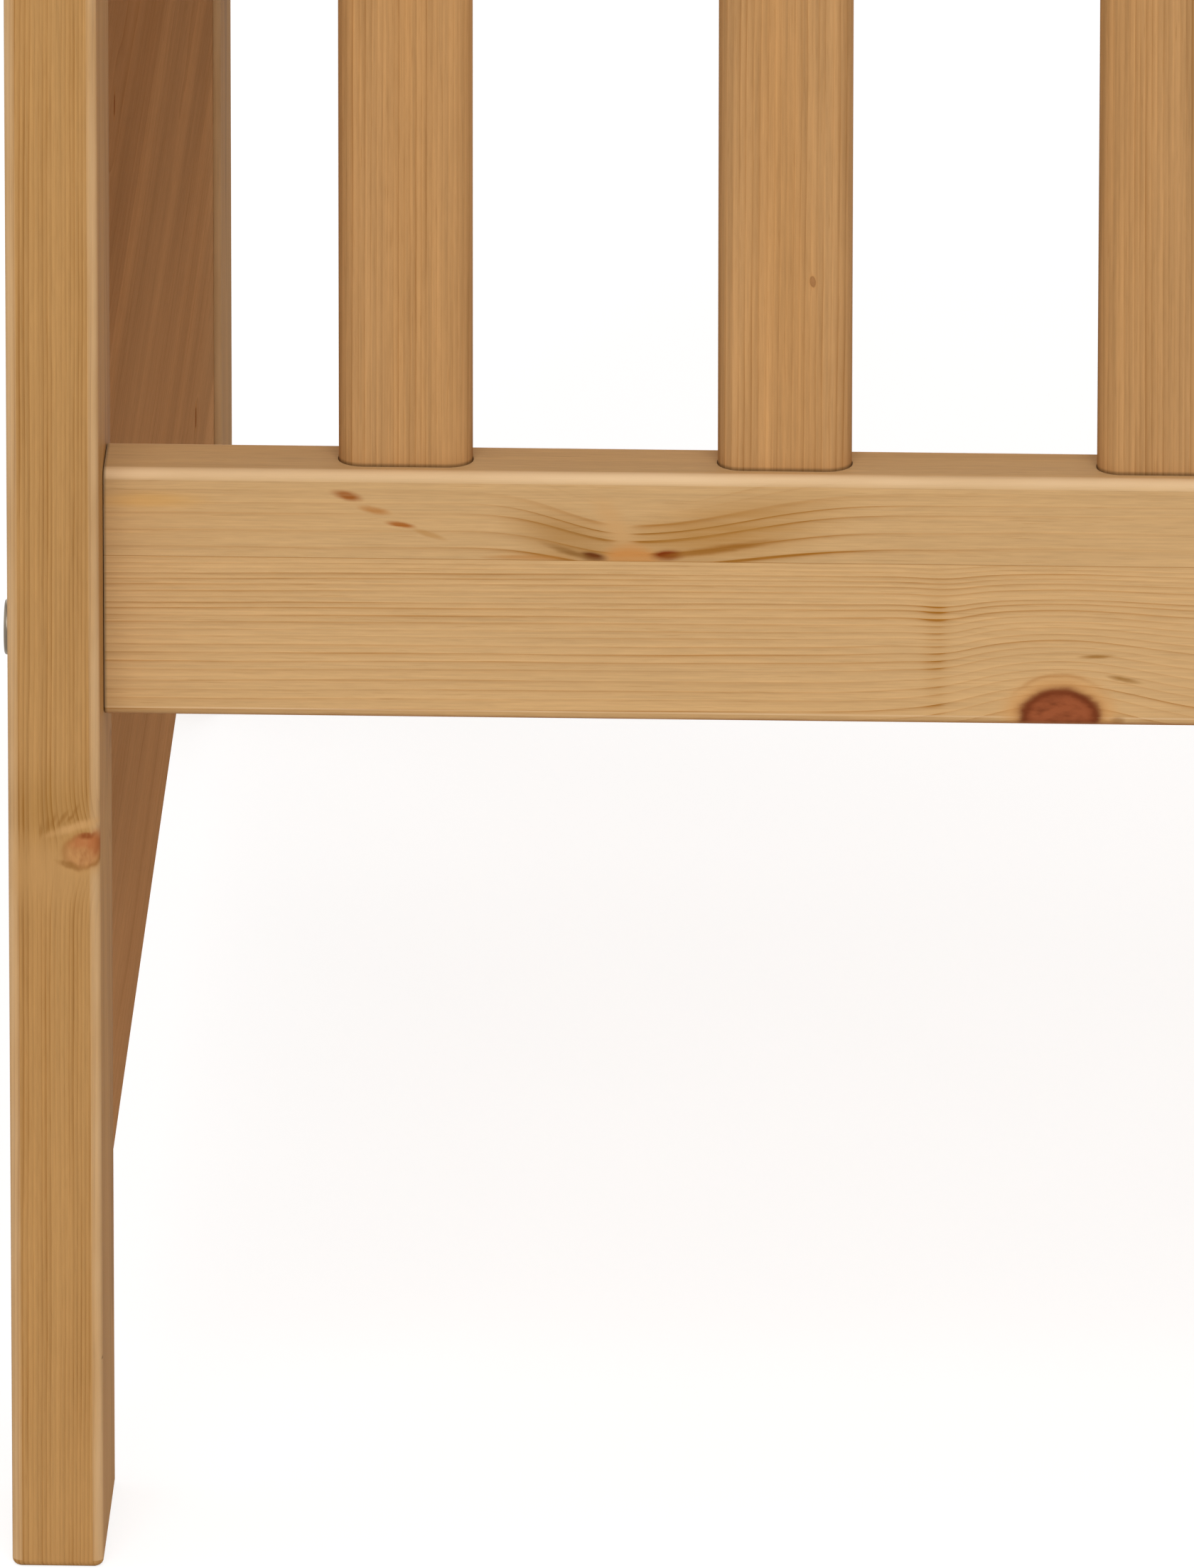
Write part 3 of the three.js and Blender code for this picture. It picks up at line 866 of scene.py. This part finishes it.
# What the photograph shows on the front bottom rail, along the crib and above the floor
RAIL_GLUE_LINE = 250.4 * MM
ENDLESS = 9000
LOWER_STRIP = (200 * MM, RAIL_GLUE_LINE)
PRESSED_PART = (200 * MM, 241 * MM)
UPPER_STRIP = (RAIL_GLUE_LINE, 300 * MM)
FACE_ABOVE = (RAIL_GLUE_LINE, 271 * MM)
TOP_FACE = (271 * MM, 300 * MM)
FAN_EDGE = (67.4 * MM, 68.2 * MM)
BIG_KNOT = knot(
    (-386.4, 211.2), (26, 25), 8, (9.4, 8.0), 0.08, heart=srgb(148, 76, 45), mottle=srgb(110, 48, 25),
    rim=srgb(104, 46, 20), halo=srgb(204, 148, 88), halo_strength=0.75, halo_width=0.7, rim_strength=0.75,
    rings=0.14, collar=1.42, collar_strength=0.6, collar_colour=srgb(164, 110, 54),
)
RAIL_KINK = knot((-413.5, 234), (8, 16), -1.2)
HALF_KNOT_GATHER = {
    "at": (-489.4 * MM, RAIL_GLUE_LINE), "reach": (19 * MM, 32 * MM), "drop": 4.5 * MM, "squeeze": 0.35,
}
RAIL_SPOTS = (
    # darker wood on both sides of the half knot, and the pale streak that rises from it
    spot((-467, 257.6), (21, 6.5), 0.65, (172, 124, 64), 0.24, blur=0.9, limits=FACE_ABOVE),
    spot((-503.5, 255.4), (11, 5), 0.7, (166, 122, 68), -0.36, blur=0.9, limits=FACE_ABOVE),
    spot((-492.6, 259.5), (7.0, 2.4), 0.75, (198, 154, 102), -1.0, blur=0.8, limits=FACE_ABOVE),
    # the half knot on the glue line with a dark wedge at each end
    spot((-488.6, 250.8), (6.0, 3.4), 0.9, (194, 134, 74), blur=0.45, limits=FACE_ABOVE),
    spot((-479.9, 252.0), (3.2, 1.2), 1.0, (124, 50, 8), 0.1, limits=FACE_ABOVE),
    spot((-467.5, 253.8), (11.5, 0.9), 0.85, (152, 100, 40), 0.17, blur=0.7, limits=FACE_ABOVE),
    spot((-497.6, 251.4), (2.8, 1.0), 1.0, (104, 54, 20), -0.14, limits=FACE_ABOVE),
    spot((-503.5, 252.6), (5.5, 0.7), 0.75, (140, 98, 50), -0.3, blur=0.7, limits=FACE_ABOVE),
    spot((-513, 250.9), (9, 0.7), 0.6, (176, 118, 58), limits=FACE_ABOVE),
    # brown marks under the first slat
    spot((-556.3, 266.2), (3.0, 1.0), 0.95, (150, 84, 32), -0.22),
    spot((-550.0, 262.6), (3.2, 0.8), 0.75, (172, 112, 52), -0.2),
    spot((-543.9, 259.0), (3.0, 0.6), 0.85, (162, 96, 40), -0.16),
    spot((-537.0, 256.6), (3.6, 0.6), 0.5, (172, 122, 60), -0.3),
    # dark ends of rings beside the big knot, and the pressed wood left of it
    spot((-377.4, 227.8), (3.2, 0.5), 0.8, (152, 106, 48), 0.05, blur=0.7),
    spot((-371.0, 222.0), (3.2, 0.55), 0.75, (150, 106, 50), -0.2, blur=0.7),
    spot((-372.6, 211.4), (1.6, 0.9), 0.6, (140, 92, 44)),
    spot((-415.2, 230), (3.0, 19), 0.1, (168, 124, 66), limits=LOWER_STRIP),
    # an orange streak near the leg, and the darker lower edge
    spot((-604.0, 264.6), (11.0, 1.8), 0.5, (210, 158, 86), blur=0.8),
    spot((0.0, 209.9), (ENDLESS, 0.9), 0.6, (158, 104, 62)),
)
RAIL_BANDS = (
    band(-415.5, (3.4, 1.8), 2.0, PRESSED_PART),
    band(-489, (ENDLESS, ENDLESS), -0.66, UPPER_STRIP),
    band(-489, (24, 42), 13.0, FACE_ABOVE),
    band(-489, (90, 110), -0.97, UPPER_STRIP, FAN_EDGE),
    band(-489, (60, 90), -0.95, TOP_FACE),
    band(-490.5, (3.6, 3.6), -0.95, UPPER_STRIP),
)

# What it shows on the front left leg and on the second slat
LEG_KNOT = knot(
    (182.3, -619.2), (9, 8), 2.5, (4.3, 4.9), -0.3, heart=srgb(190, 134, 82), mottle=srgb(148, 86, 48),
    rim=srgb(150, 102, 52), halo=srgb(190, 144, 88), halo_strength=0.5, halo_width=0.8, rim_strength=0.6,
    rings=0.05, strength=0.85,
)
# Short dark ends of rings over its pale band: place, half length and height, slant
LEG_RING_ENDS = (
    ((187.6, -628.9), (1.6, 0.4), 0.1),
    ((188.9, -627.4), (1.8, 0.45), 0.15),
    ((190.4, -625.9), (1.5, 0.45), 0.3),
    ((189.6, -624.6), (1.0, 0.4), 0.5),
    ((191.2, -623.4), (1.4, 0.45), 0.6),
    ((190.8, -622.0), (1.0, 0.35), 0.7),
    ((192.6, -620.8), (1.4, 0.4), 0.5),
)
LEG_SPOTS = (
    # dull wood above the knot, paler wood below it, and the pale band that runs over it
    spot((192.5, -627.0), (8.0, 9.0), 0.4, (164, 120, 62), blur=0.8),
    spot((177.0, -629.0), (7.0, 8.0), 0.45, (188, 143, 90), blur=0.8),
    spot((188.6, -620.6), (1.0, 6.3), 0.75, (198, 152, 98), -0.3, blur=0.7),
    *(spot(place, size, 0.55, (146, 99, 46), slant, blur=0.8) for place, size, slant in LEG_RING_ENDS),
    # the red core at the leg's edge and its shadowed side
    spot((184.6, -615.9), (2.9, 1.9), 0.85, (164, 92, 50)),
    spot((185.0, -618.9), (1.6, 3.4), 0.6, (178, 108, 64), -0.25),
    spot((186.5, -618.0), (0.7, 1.7), 0.8, (138, 72, 34), -0.2),
    spot((179.0, -622.6), (0.8, 2.6), 0.6, (144, 98, 48), 0.35),
    # the head of a pin near the foot
    spot((53.4, -614.8), (0.5, 0.5), 0.9, (70, 44, 28)),
)
EVERYWHERE = (-9.0, 9.0)
LEFT_OF_KNOT = (-640 * MM, -618 * MM)
LEG_BANDS = (
    band(190, (3, 11), 0.9, LEFT_OF_KNOT),
    band(178, (8, 7), -0.85, EVERYWHERE),
)
SLAT_KNOT = knot(
    (319.4, -445.6), (4, 2), 0.3, (1.2, 0.7), heart=srgb(156, 108, 66), mottle=srgb(140, 94, 56),
    rim=srgb(150, 106, 62), halo_strength=0.2, strength=0.7, rim_strength=0.4,
)

RAIL_ENDS = (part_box("front_left_leg")[1].x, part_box("front_right_leg")[0].x)
SLAT_ENDS = (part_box("front_bottom_rail")[1].z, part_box("front_top_rail")[0].z)

rail_pine = pine(
    "rail pine", HONEY, HONEY_LINE, 2.6 * MM, knot_share=0.35, edge_highlight=0.7, contrast=0.6,
    shaded_contacts=RAIL_ENDS,
)
front_rail_pine = pine(
    "front rail pine", HONEY, HONEY_LINE, 3.4 * MM, narrowing=0.05, wander=0.35, knots=(BIG_KNOT, RAIL_KINK),
    gathers=(HALF_KNOT_GATHER,), spots=RAIL_SPOTS, bands=RAIL_BANDS, plane=("x", "z"), depth=-330 * MM,
    edge_highlight=0.9, contrast=0.55, shaded_contacts=RAIL_ENDS,
)
leg_pine = pine(
    "leg pine", LEG_HONEY, LEG_LINE, 1.5 * MM, knot_share=0.3, edge_highlight=0.45, wander=0.6, contrast=0.55,
)
front_leg_pine = pine(
    "front leg pine", LEG_HONEY, LEG_LINE, 1.25 * MM, knots=(LEG_KNOT,), spots=LEG_SPOTS, bands=LEG_BANDS,
    plane=("z", "x"), depth=-350 * MM, edge_highlight=0.45, wander=0.3, contrast=0.55, streaking=0.34,
)
slat_pine = pine(
    "slat pine", SLAT_HONEY, SLAT_LINE, 1.5 * MM, knot_share=0.12, wander=0.5, contrast=0.45, streaking=0.55,
    warming=0.5, shaded_contacts=SLAT_ENDS,
)
second_slat_pine = pine(
    "second slat pine", SLAT_HONEY, SLAT_LINE, 2.0 * MM, knots=(SLAT_KNOT,), plane=("z", "x"),
    depth=-325.5 * MM, wander=0.4, contrast=0.42, streaking=0.6, clouding=0.3, warming=0.6,
    shaded_contacts=SLAT_ENDS,
)
board_pine = pine(
    "board pine", BOARD_HONEY, BOARD_LINE, 3.4 * MM, knot_share=0.4, edge_highlight=0.2, wander=2.5,
    contrast=0.35, clouding=0.12, streaking=0.2, bandings=0.6, warming=0.2, joint_strength=0.2, coat=0.0,
    mirror=0.0,
)
base_pine = pine(
    "base pine", RAW_PINE, RAW_LINE, 2.4 * MM, knot_share=0.4, roughness=0.8, coat=0.0, end_dark=0.8,
)
bronze = metal("bronze plated steel", srgb(130, 119, 103), 0.36)
zinc = metal("zinc plated screws", srgb(176, 172, 160), 0.34)


# Bolts and their holes

def middle_yz(node):
    """Where the middle of a node's box lies from front to back and above the floor."""
    low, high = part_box(node)
    return (low.y + high.y) / 2, (low.z + high.z) / 2


def inner_and_outer(way, low, high):
    """The two ends of a span, the one nearer the crib's middle first; way is the side that it lies on."""
    return (low, high) if way > 0 else (high, low)


def bolt_hole(end, inner_x, outer_x, y, z):
    """The hole for a bolt through a leg or board."""
    profile = [(BOLT_HOLE_RADIUS, inner_x - end * OVERRUN), (BOLT_HOLE_RADIUS, outer_x + end * OVERRUN)]
    return turned("x", profile, (0, y, z))


def nut_holes(end, rail_end, y, z, face_y):
    """The bolt's hole into the end of a rail and the nut's cross hole, which opens at the inner face."""
    inwards = math.copysign(1, face_y - y)
    depth = BOLT_REACH + NUT_RADIUS + BOLT_TIP + CLEARANCE
    radius = NUT_RADIUS + CLEARANCE
    bore = [(BOLT_HOLE_RADIUS, rail_end - end * depth), (BOLT_HOLE_RADIUS, rail_end + end * OVERRUN)]
    cross = [(radius, y - inwards * (NUT_LENGTH / 2 + CLEARANCE)), (radius, face_y + inwards * OVERRUN)]
    return [turned("x", bore, (0, y, z)), turned("y", cross, (rail_end - end * BOLT_REACH, 0, z))]


def bolt(node, end, inwards, rail_end):
    """A connector bolt with a hexagon socket, and the slotted barrel nut on its thread."""
    low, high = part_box(node)
    y, z = middle_yz(node)
    tip, outer = inner_and_outer(end, low.x, high.x)
    seat = outer - end * BOLT_HEAD_THICKNESS
    profile = [
        (BOLT_RADIUS - THREAD_CHAMFER, tip), (BOLT_RADIUS, tip + end * THREAD_CHAMFER), (BOLT_RADIUS, seat),
        (BOLT_HEAD_RADIUS - HEAD_CHAMFER, seat), (BOLT_HEAD_RADIUS, seat + end * HEAD_CHAMFER),
    ]
    for step in range(EASING_STEPS + 1):
        turn = step / EASING_STEPS * math.pi / 2
        place = outer - end * HEAD_ROUNDING * (1 - math.sin(turn))
        profile.append((BOLT_HEAD_RADIUS - HEAD_ROUNDING * (1 - math.cos(turn)), place))
    shaft = turned("x", profile, (0, y, z))
    nut_x = rail_end - end * BOLT_REACH
    half = NUT_LENGTH / 2
    nut_profile = [
        (NUT_RADIUS - NUT_CHAMFER, y - half), (NUT_RADIUS, y - half + NUT_CHAMFER),
        (NUT_RADIUS, y + half - NUT_CHAMFER), (NUT_RADIUS - NUT_CHAMFER, y + half),
    ]
    nut = turned("y", nut_profile, (nut_x, 0, z))
    slot_face = y + inwards * half
    slot_y = sorted((slot_face - inwards * NUT_SLOT_DEPTH, slot_face + inwards * MM))
    slot_reach = 1.2 * NUT_RADIUS
    slot = block(
        (nut_x - slot_reach, slot_y[0], z - NUT_SLOT_WIDTH / 2),
        (nut_x + slot_reach, slot_y[1], z + NUT_SLOT_WIDTH / 2),
    )
    socket_radius = SOCKET_ACROSS_FLATS / math.sqrt(3)
    socket_profile = [(socket_radius, outer - end * SOCKET_DEPTH), (socket_radius, outer + end * OVERRUN)]
    socket = turned("x", socket_profile, (0, y, z), SOCKET_SIDES)
    item = worked(node, shaft, cuts=[socket, slot], joins=[nut])
    finish_piece(item, node, bronze)


# Legs, boards and arched rails

# How much darker some pieces are, and where strips of wood are glued: at a height or at shares of the height
# The back legs are painted darker, as shade.
BACK_LEG_SHADE = -0.12
ARCH_TONE = -0.02
ARCH_SEAM = 48 * MM
BOARD_SEAMS = (0.13, 0.27, 0.40, 0.55, 0.69, 0.84)
RAIL_SEAM = {"bottom": 0.6, "top": 0.46}


def leg(side, end_name):
    node = f"{side}_{end_name}_leg"
    end, outwards = ENDS[end_name], SIDES[side]
    low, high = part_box(node)
    inner_x, outer_x = inner_and_outer(end, low.x, high.x)
    cuts = []
    for level in ("lower", "upper"):
        y, z = middle_yz(f"{side}_{end_name}_{level}_bolt")
        cuts.append(bolt_hole(end, inner_x, outer_x, y, z))
        radius = DOWEL_RADIUS + CLEARANCE
        floor = inner_x + end * (DOWEL_LENGTH + CLEARANCE)
        dowel_hole = [(radius, inner_x - end * OVERRUN), (radius, floor)]
        cuts.append(turned("x", dowel_hole, (0, y, z + BOLT_TO_DOWEL)))
    board_low, board_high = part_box(f"{end_name}_end_board")
    inner_y, _ = inner_and_outer(outwards, low.y, high.y)
    ends_y = sorted((inner_y + outwards * GROOVE_DEPTH, inner_y - outwards * OVERRUN))
    groove_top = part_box(f"{end_name}_arched_rail")[1].z - ARCH_RISE - TENON_SHOULDER + CLEARANCE
    cuts.append(block(
        (board_low.x - GROOVE_GAP, ends_y[0], board_low.z - CLEARANCE),
        (board_high.x + GROOVE_GAP, ends_y[1], groove_top),
    ))
    item = worked(node, bar("z", low, high, EDGE_RADIUS, FOOT_EASING), cuts=cuts)
    if node == "front_left_leg":
        finish_wood(item, node, front_leg_pine, "z", "x", piths=[(-0.09, 0.02)], shifts=[0.0])
    else:
        # The back legs are painted darker, as shade.
        tone = BACK_LEG_SHADE if side == "back" else 0.0
        finish_wood(item, node, leg_pine, "z", "x", sawn="quarter", tone=tone)


def end_board(end_name):
    node = f"{end_name}_end_board"
    end = ENDS[end_name]
    low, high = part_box(node)
    inner_x, outer_x = inner_and_outer(end, low.x, high.x)
    cuts = []
    for side in SIDES:
        y, z = middle_yz(f"{side}_{end_name}_base_bolt")
        for position in range(BASE_POSITIONS):
            cuts.append(bolt_hole(end, inner_x, outer_x, y, z - position * BASE_STEP))
    item = worked(node, bar("y", low, high, EDGE_RADIUS), cuts=cuts)
    seams = [low.z + share * (high.z - low.z) for share in BOARD_SEAMS]
    finish_wood(item, node, board_pine, "y", "z", seams=seams, tones=[0.0] * (len(seams) + 1))


def arched_rail(end_name):
    node = f"{end_name}_arched_rail"
    low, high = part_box(node)
    centre = (low + high) / 2
    inner_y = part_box(f"back_{end_name}_leg")[0].y
    half = inner_y - CLEARANCE
    arch_radius = (half * half + ARCH_RISE * ARCH_RISE) / (2 * ARCH_RISE)
    spread = math.asin(half / arch_radius)
    outline = [(-half, low.z), (half, low.z)]
    for step in range(ARCH_STEPS + 1):
        angle = spread * (1 - 2 * step / ARCH_STEPS)
        outline.append((arch_radius * math.sin(angle), high.z - arch_radius + arch_radius * math.cos(angle)))
    board_low, board_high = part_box(f"{end_name}_end_board")
    tenon_top = high.z - ARCH_RISE - TENON_SHOULDER
    tenons = block((board_low.x, low.y, tenon_top - TENON_HEIGHT), (board_high.x, high.y, tenon_top))
    groove = block(
        (board_low.x - GROOVE_GAP, -inner_y - OVERRUN, low.z - OVERRUN),
        (board_high.x + GROOVE_GAP, inner_y + OVERRUN, low.z + GROOVE_DEPTH),
    )
    shape = extrude("x", outline, low.x, high.x, (centre.x, 0, 0), EDGE_RADIUS)
    item = worked(node, shape, joins=[tenons], cuts=[groove])
    finish_wood(item, node, rail_pine, "y", "z", seams=[low.z + ARCH_SEAM], tone=ARCH_TONE)


# Sides

def side_rail(side, level):
    node = f"{side}_{level}_rail"
    low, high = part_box(node)
    inner_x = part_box(f"{side}_right_leg")[0].x
    rail_end = inner_x - CLEARANCE
    low.x, high.x = RAIL_END_GAP - inner_x, inner_x - RAIL_END_GAP
    y = (low.y + high.y) / 2
    inner_y, _ = inner_and_outer(SIDES[side], low.y, high.y)
    if level == "bottom":
        shape = bar("x", low, high, EDGE_RADIUS, RAIL_END_EASING)
        mortise_ends = (high.z - MORTISE_DEPTH, high.z + OVERRUN)
    else:
        shape = bar("x", low, high, EDGE_RADIUS, RAIL_END_EASING, HANDRAIL_RADIUS)
        mortise_ends = (low.z - OVERRUN, low.z + MORTISE_DEPTH)
    cuts = []
    around = Vector((MORTISE_GAP, MORTISE_GAP, 0))
    for index in range(SLAT_COUNT):
        slat_low, slat_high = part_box(f"{side}_slat_{index + 1:02d}")
        mortise_low, mortise_high = slat_low - around, slat_high + around
        mortise_low.z, mortise_high.z = mortise_ends
        cuts.append(bar("z", mortise_low, mortise_high, SLAT_RADIUS + MORTISE_GAP))
    dowels = []
    bolt_name = "lower" if level == "bottom" else "upper"
    for end_name, end in ENDS.items():
        _, z = middle_yz(f"{side}_{end_name}_{bolt_name}_bolt")
        cuts += nut_holes(end, end * rail_end, y, z, inner_y)
        tip = end * (rail_end + DOWEL_LENGTH)
        profile = [(DOWEL_RADIUS, end * (rail_end - OVERRUN)), (DOWEL_RADIUS, tip - end * DOWEL_CHAMFER),
                   (DOWEL_RADIUS - DOWEL_CHAMFER, tip)]
        dowels.append(turned("x", profile, (0, y, z + BOLT_TO_DOWEL), DOWEL_STEPS))
    item = worked(node, shape, joins=dowels, cuts=cuts)
    if node == "front_bottom_rail":
        finish_wood(item, node, front_rail_pine, "x", "z", seams=[RAIL_GLUE_LINE],
                    piths=[(-0.085, 0.012), (-0.055, 0.012)], shifts=[0.0, 3.0], tones=[0.02, -0.04])
    else:
        seam = low.z + RAIL_SEAM[level] * (high.z - low.z)
        finish_wood(item, node, rail_pine, "x", "z", seams=[seam])


def slat(side, index):
    node = f"{side}_slat_{index + 1:02d}"
    low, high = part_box(node)
    item = new_object(node, bar("z", low, high, SLAT_RADIUS))
    if node == "front_slat_02":
        finish_wood(item, node, second_slat_pine, "z", "x", piths=[(-0.1, 0.02)], shifts=[0.0])
    else:
        tone = random.Random(f"tone of {node}").uniform(-TONE_RANGE, TONE_RANGE)
        finish_wood(item, node, slat_pine, "z", "x", sawn="quarter", tone=tone)


# Mattress base

def base_rail(side):
    node = f"{side}_base_rail"
    low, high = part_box(node)
    y, z = middle_yz(node)
    inner_y, _ = inner_and_outer(SIDES[side], low.y, high.y)
    cuts = []
    for end in ENDS.values():
        cuts += nut_holes(end, inner_and_outer(end, low.x, high.x)[1], y, z, inner_y)
    item = worked(node, bar("x", low, high, EDGE_RADIUS), cuts=cuts)
    finish_wood(item, node, base_pine, "x", "z")


def base_slat(index):
    """A slat of the base with countersunk holes. Gives its four screws and the crosses of their recesses."""
    node = f"base_slat_{index + 1}"
    low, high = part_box(node)
    head = high.z - SCREW_SINK
    wide, rim = SCREW_HEAD_RADIUS + COUNTERSINK_GAP, SCREW_HEAD_RADIUS - SCREW_EASING
    hole = [
        (SCREW_HOLE_RADIUS, low.z - OVERRUN), (SCREW_HOLE_RADIUS, high.z - COUNTERSINK_DEPTH),
        (wide, high.z - COUNTERSINK_RIM), (wide, high.z + OVERRUN),
    ]
    screw = [
        (SCREW_RADIUS, head - SCREW_LENGTH), (SCREW_RADIUS, head - SCREW_NECK), (rim, head - SCREW_RIM),
        (rim, head - SCREW_EASING), (rim - SCREW_EASING, head),
    ]
    cuts, screws, crosses = [], [], []
    for side in SIDES:
        y, _ = middle_yz(f"{side}_base_rail")
        for way in (-1, 1):
            x = (low.x + high.x) / 2 + way * SCREW_SPREAD
            cuts.append(turned("z", hole, (x, y, 0), SCREW_STEPS))
            screws.append(turned("z", screw, (x, y, 0), SCREW_STEPS))
            for reach_x, reach_y in ((CROSS_ARM, CROSS_HALF_WIDTH), (CROSS_HALF_WIDTH, CROSS_ARM)):
                crosses.append((
                    (x - reach_x, y - reach_y, head - CROSS_DEPTH),
                    (x + reach_x, y + reach_y, high.z + OVERRUN),
                ))
    item = worked(node, bar("y", low, high, BASE_SLAT_RADIUS), cuts=cuts)
    finish_wood(item, node, base_pine, "y", "x")
    return screws, crosses


def base_screws(screws, crosses):
    """All screws of the base as one object. Each cross is two bars, which are cut one after the other."""
    item = new_object("base_screws", together(screws))
    for way in range(2):
        combine(item, "DIFFERENCE", [block(*cross) for cross in crosses[way::2]])
    item.data.materials.append(zinc)
    smooth(item)
    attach(item, "root")


# Camera, floor and light

def add_camera():
    yaw, pitch, roll = CAMERA_YAW, CAMERA_PITCH, CAMERA_ROLL
    ahead = Vector((-math.sin(yaw) * math.cos(pitch), math.cos(yaw) * math.cos(pitch), -math.sin(pitch)))
    right = Vector((math.cos(yaw), math.sin(yaw), 0))
    up = right.cross(ahead)
    rolled_right = right * math.cos(roll) + up * math.sin(roll)
    rolled_up = up * math.cos(roll) - right * math.sin(roll)
    data = bpy.data.cameras.new("camera")
    data.sensor_width = SENSOR
    data.lens = FOCAL_PIXELS * SENSOR / IMAGE_HEIGHT
    data.clip_end = CAMERA_REACH
    camera = bpy.data.objects.new("camera", data)
    turn = Matrix((rolled_right, rolled_up, -ahead)).transposed().to_4x4()
    camera.matrix_world = Matrix.Translation(CAMERA_PLACE) @ turn
    bpy.context.scene.collection.objects.link(camera)
    bpy.context.scene.camera = camera


FLOOR_SIZE = 60.0
FLOOR_GLOW = 0.76
FLOOR_PAINT = 0.36


def seen_directly(shader):
    """1 for what the camera, a reflection or a clear body sees, 0 for light that falls on surfaces."""
    path = shader.add("LightPath")
    seen = shader.value(path.outputs["Is Camera Ray"])
    for name in ("Is Glossy Ray", "Is Transmission Ray"):
        seen = shader.math("MAXIMUM", seen, shader.value(path.outputs[name]))
    return seen


def grey(share):
    return (share, share, share, 1.0)


def add_floor():
    """A pale floor. Seen directly it is white where light reaches it and keeps the crib's shadow."""
    half = FLOOR_SIZE / 2
    corners = ((-half, -half), (half, -half), (half, half), (-half, half))
    made = bmesh.new()
    made.faces.new([made.verts.new((x, y, 0)) for x, y in corners])
    floor = new_object("floor", made)
    material = bpy.data.materials.new("pale floor")
    shader = Shader(material, "MixShader")
    glow = shader.add("Emission", grey(1.0), FLOOR_GLOW)
    both = shader.add("AddShader", shader.add("BsdfDiffuse", grey(FLOOR_PAINT)), glow)
    plain = shader.add("BsdfDiffuse", grey(0.8))
    for socket, value in zip(shader.surface.inputs, (seen_directly(shader), plain, both)):
        shader.put(socket, value)
    floor.data.materials.append(material)


SKY_LIGHT = 0.46
SUNS = (
    # direction that the light comes from, strength, softness in degrees
    ((0.1, -1.0, 0.78), 1.68, 50),
    ((-1.0, 0.15, 0.5), 0.38, 60),
    ((0.2, 1.0, 0.5), 1.1, 60),
)


def add_light():
    world = bpy.data.worlds.new("studio")
    bpy.context.scene.world = world
    shader = Shader(world, "MixShader", "OutputWorld")
    light = shader.add("Background", grey(1.0), SKY_LIGHT)
    white = shader.add("Background", grey(1.0), 1.0)
    for socket, value in zip(shader.surface.inputs, (seen_directly(shader), light, white)):
        shader.put(socket, value)
    for number, (direction, strength, softness) in enumerate(SUNS):
        data = bpy.data.lights.new(f"lamp {number + 1}", "SUN")
        data.energy = strength
        data.angle = math.radians(softness)
        lamp = bpy.data.objects.new(f"lamp {number + 1}", data)
        lamp.rotation_euler = Vector(direction).to_track_quat("Z", "Y").to_euler()
        bpy.context.scene.collection.objects.link(lamp)


# The crib

add_camera()
add_floor()
add_light()
bpy.context.scene.view_settings.view_transform = "Standard"

for end_name in ENDS:
    end_board(end_name)
    arched_rail(end_name)
    for side in SIDES:
        leg(side, end_name)
for side in SIDES:
    side_rail(side, "bottom")
    side_rail(side, "top")
    base_rail(side)
    for index in range(SLAT_COUNT):
        slat(side, index)
screws, crosses = [], []
for index in range(BASE_SLAT_COUNT):
    slat_screws, slat_crosses = base_slat(index)
    screws += slat_screws
    crosses += slat_crosses
base_screws(screws, crosses)

for end_name, end in ENDS.items():
    for side, outwards in SIDES.items():
        leg_low, leg_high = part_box(f"{side}_{end_name}_leg")
        rail_end = inner_and_outer(end, leg_low.x, leg_high.x)[0] - end * CLEARANCE
        for level in ("lower", "upper"):
            bolt(f"{side}_{end_name}_{level}_bolt", end, -outwards, rail_end)
        rail_low, rail_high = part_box(f"{side}_base_rail")
        rail_end = inner_and_outer(end, rail_low.x, rail_high.x)[1]
        bolt(f"{side}_{end_name}_base_bolt", end, -outwards, rail_end)
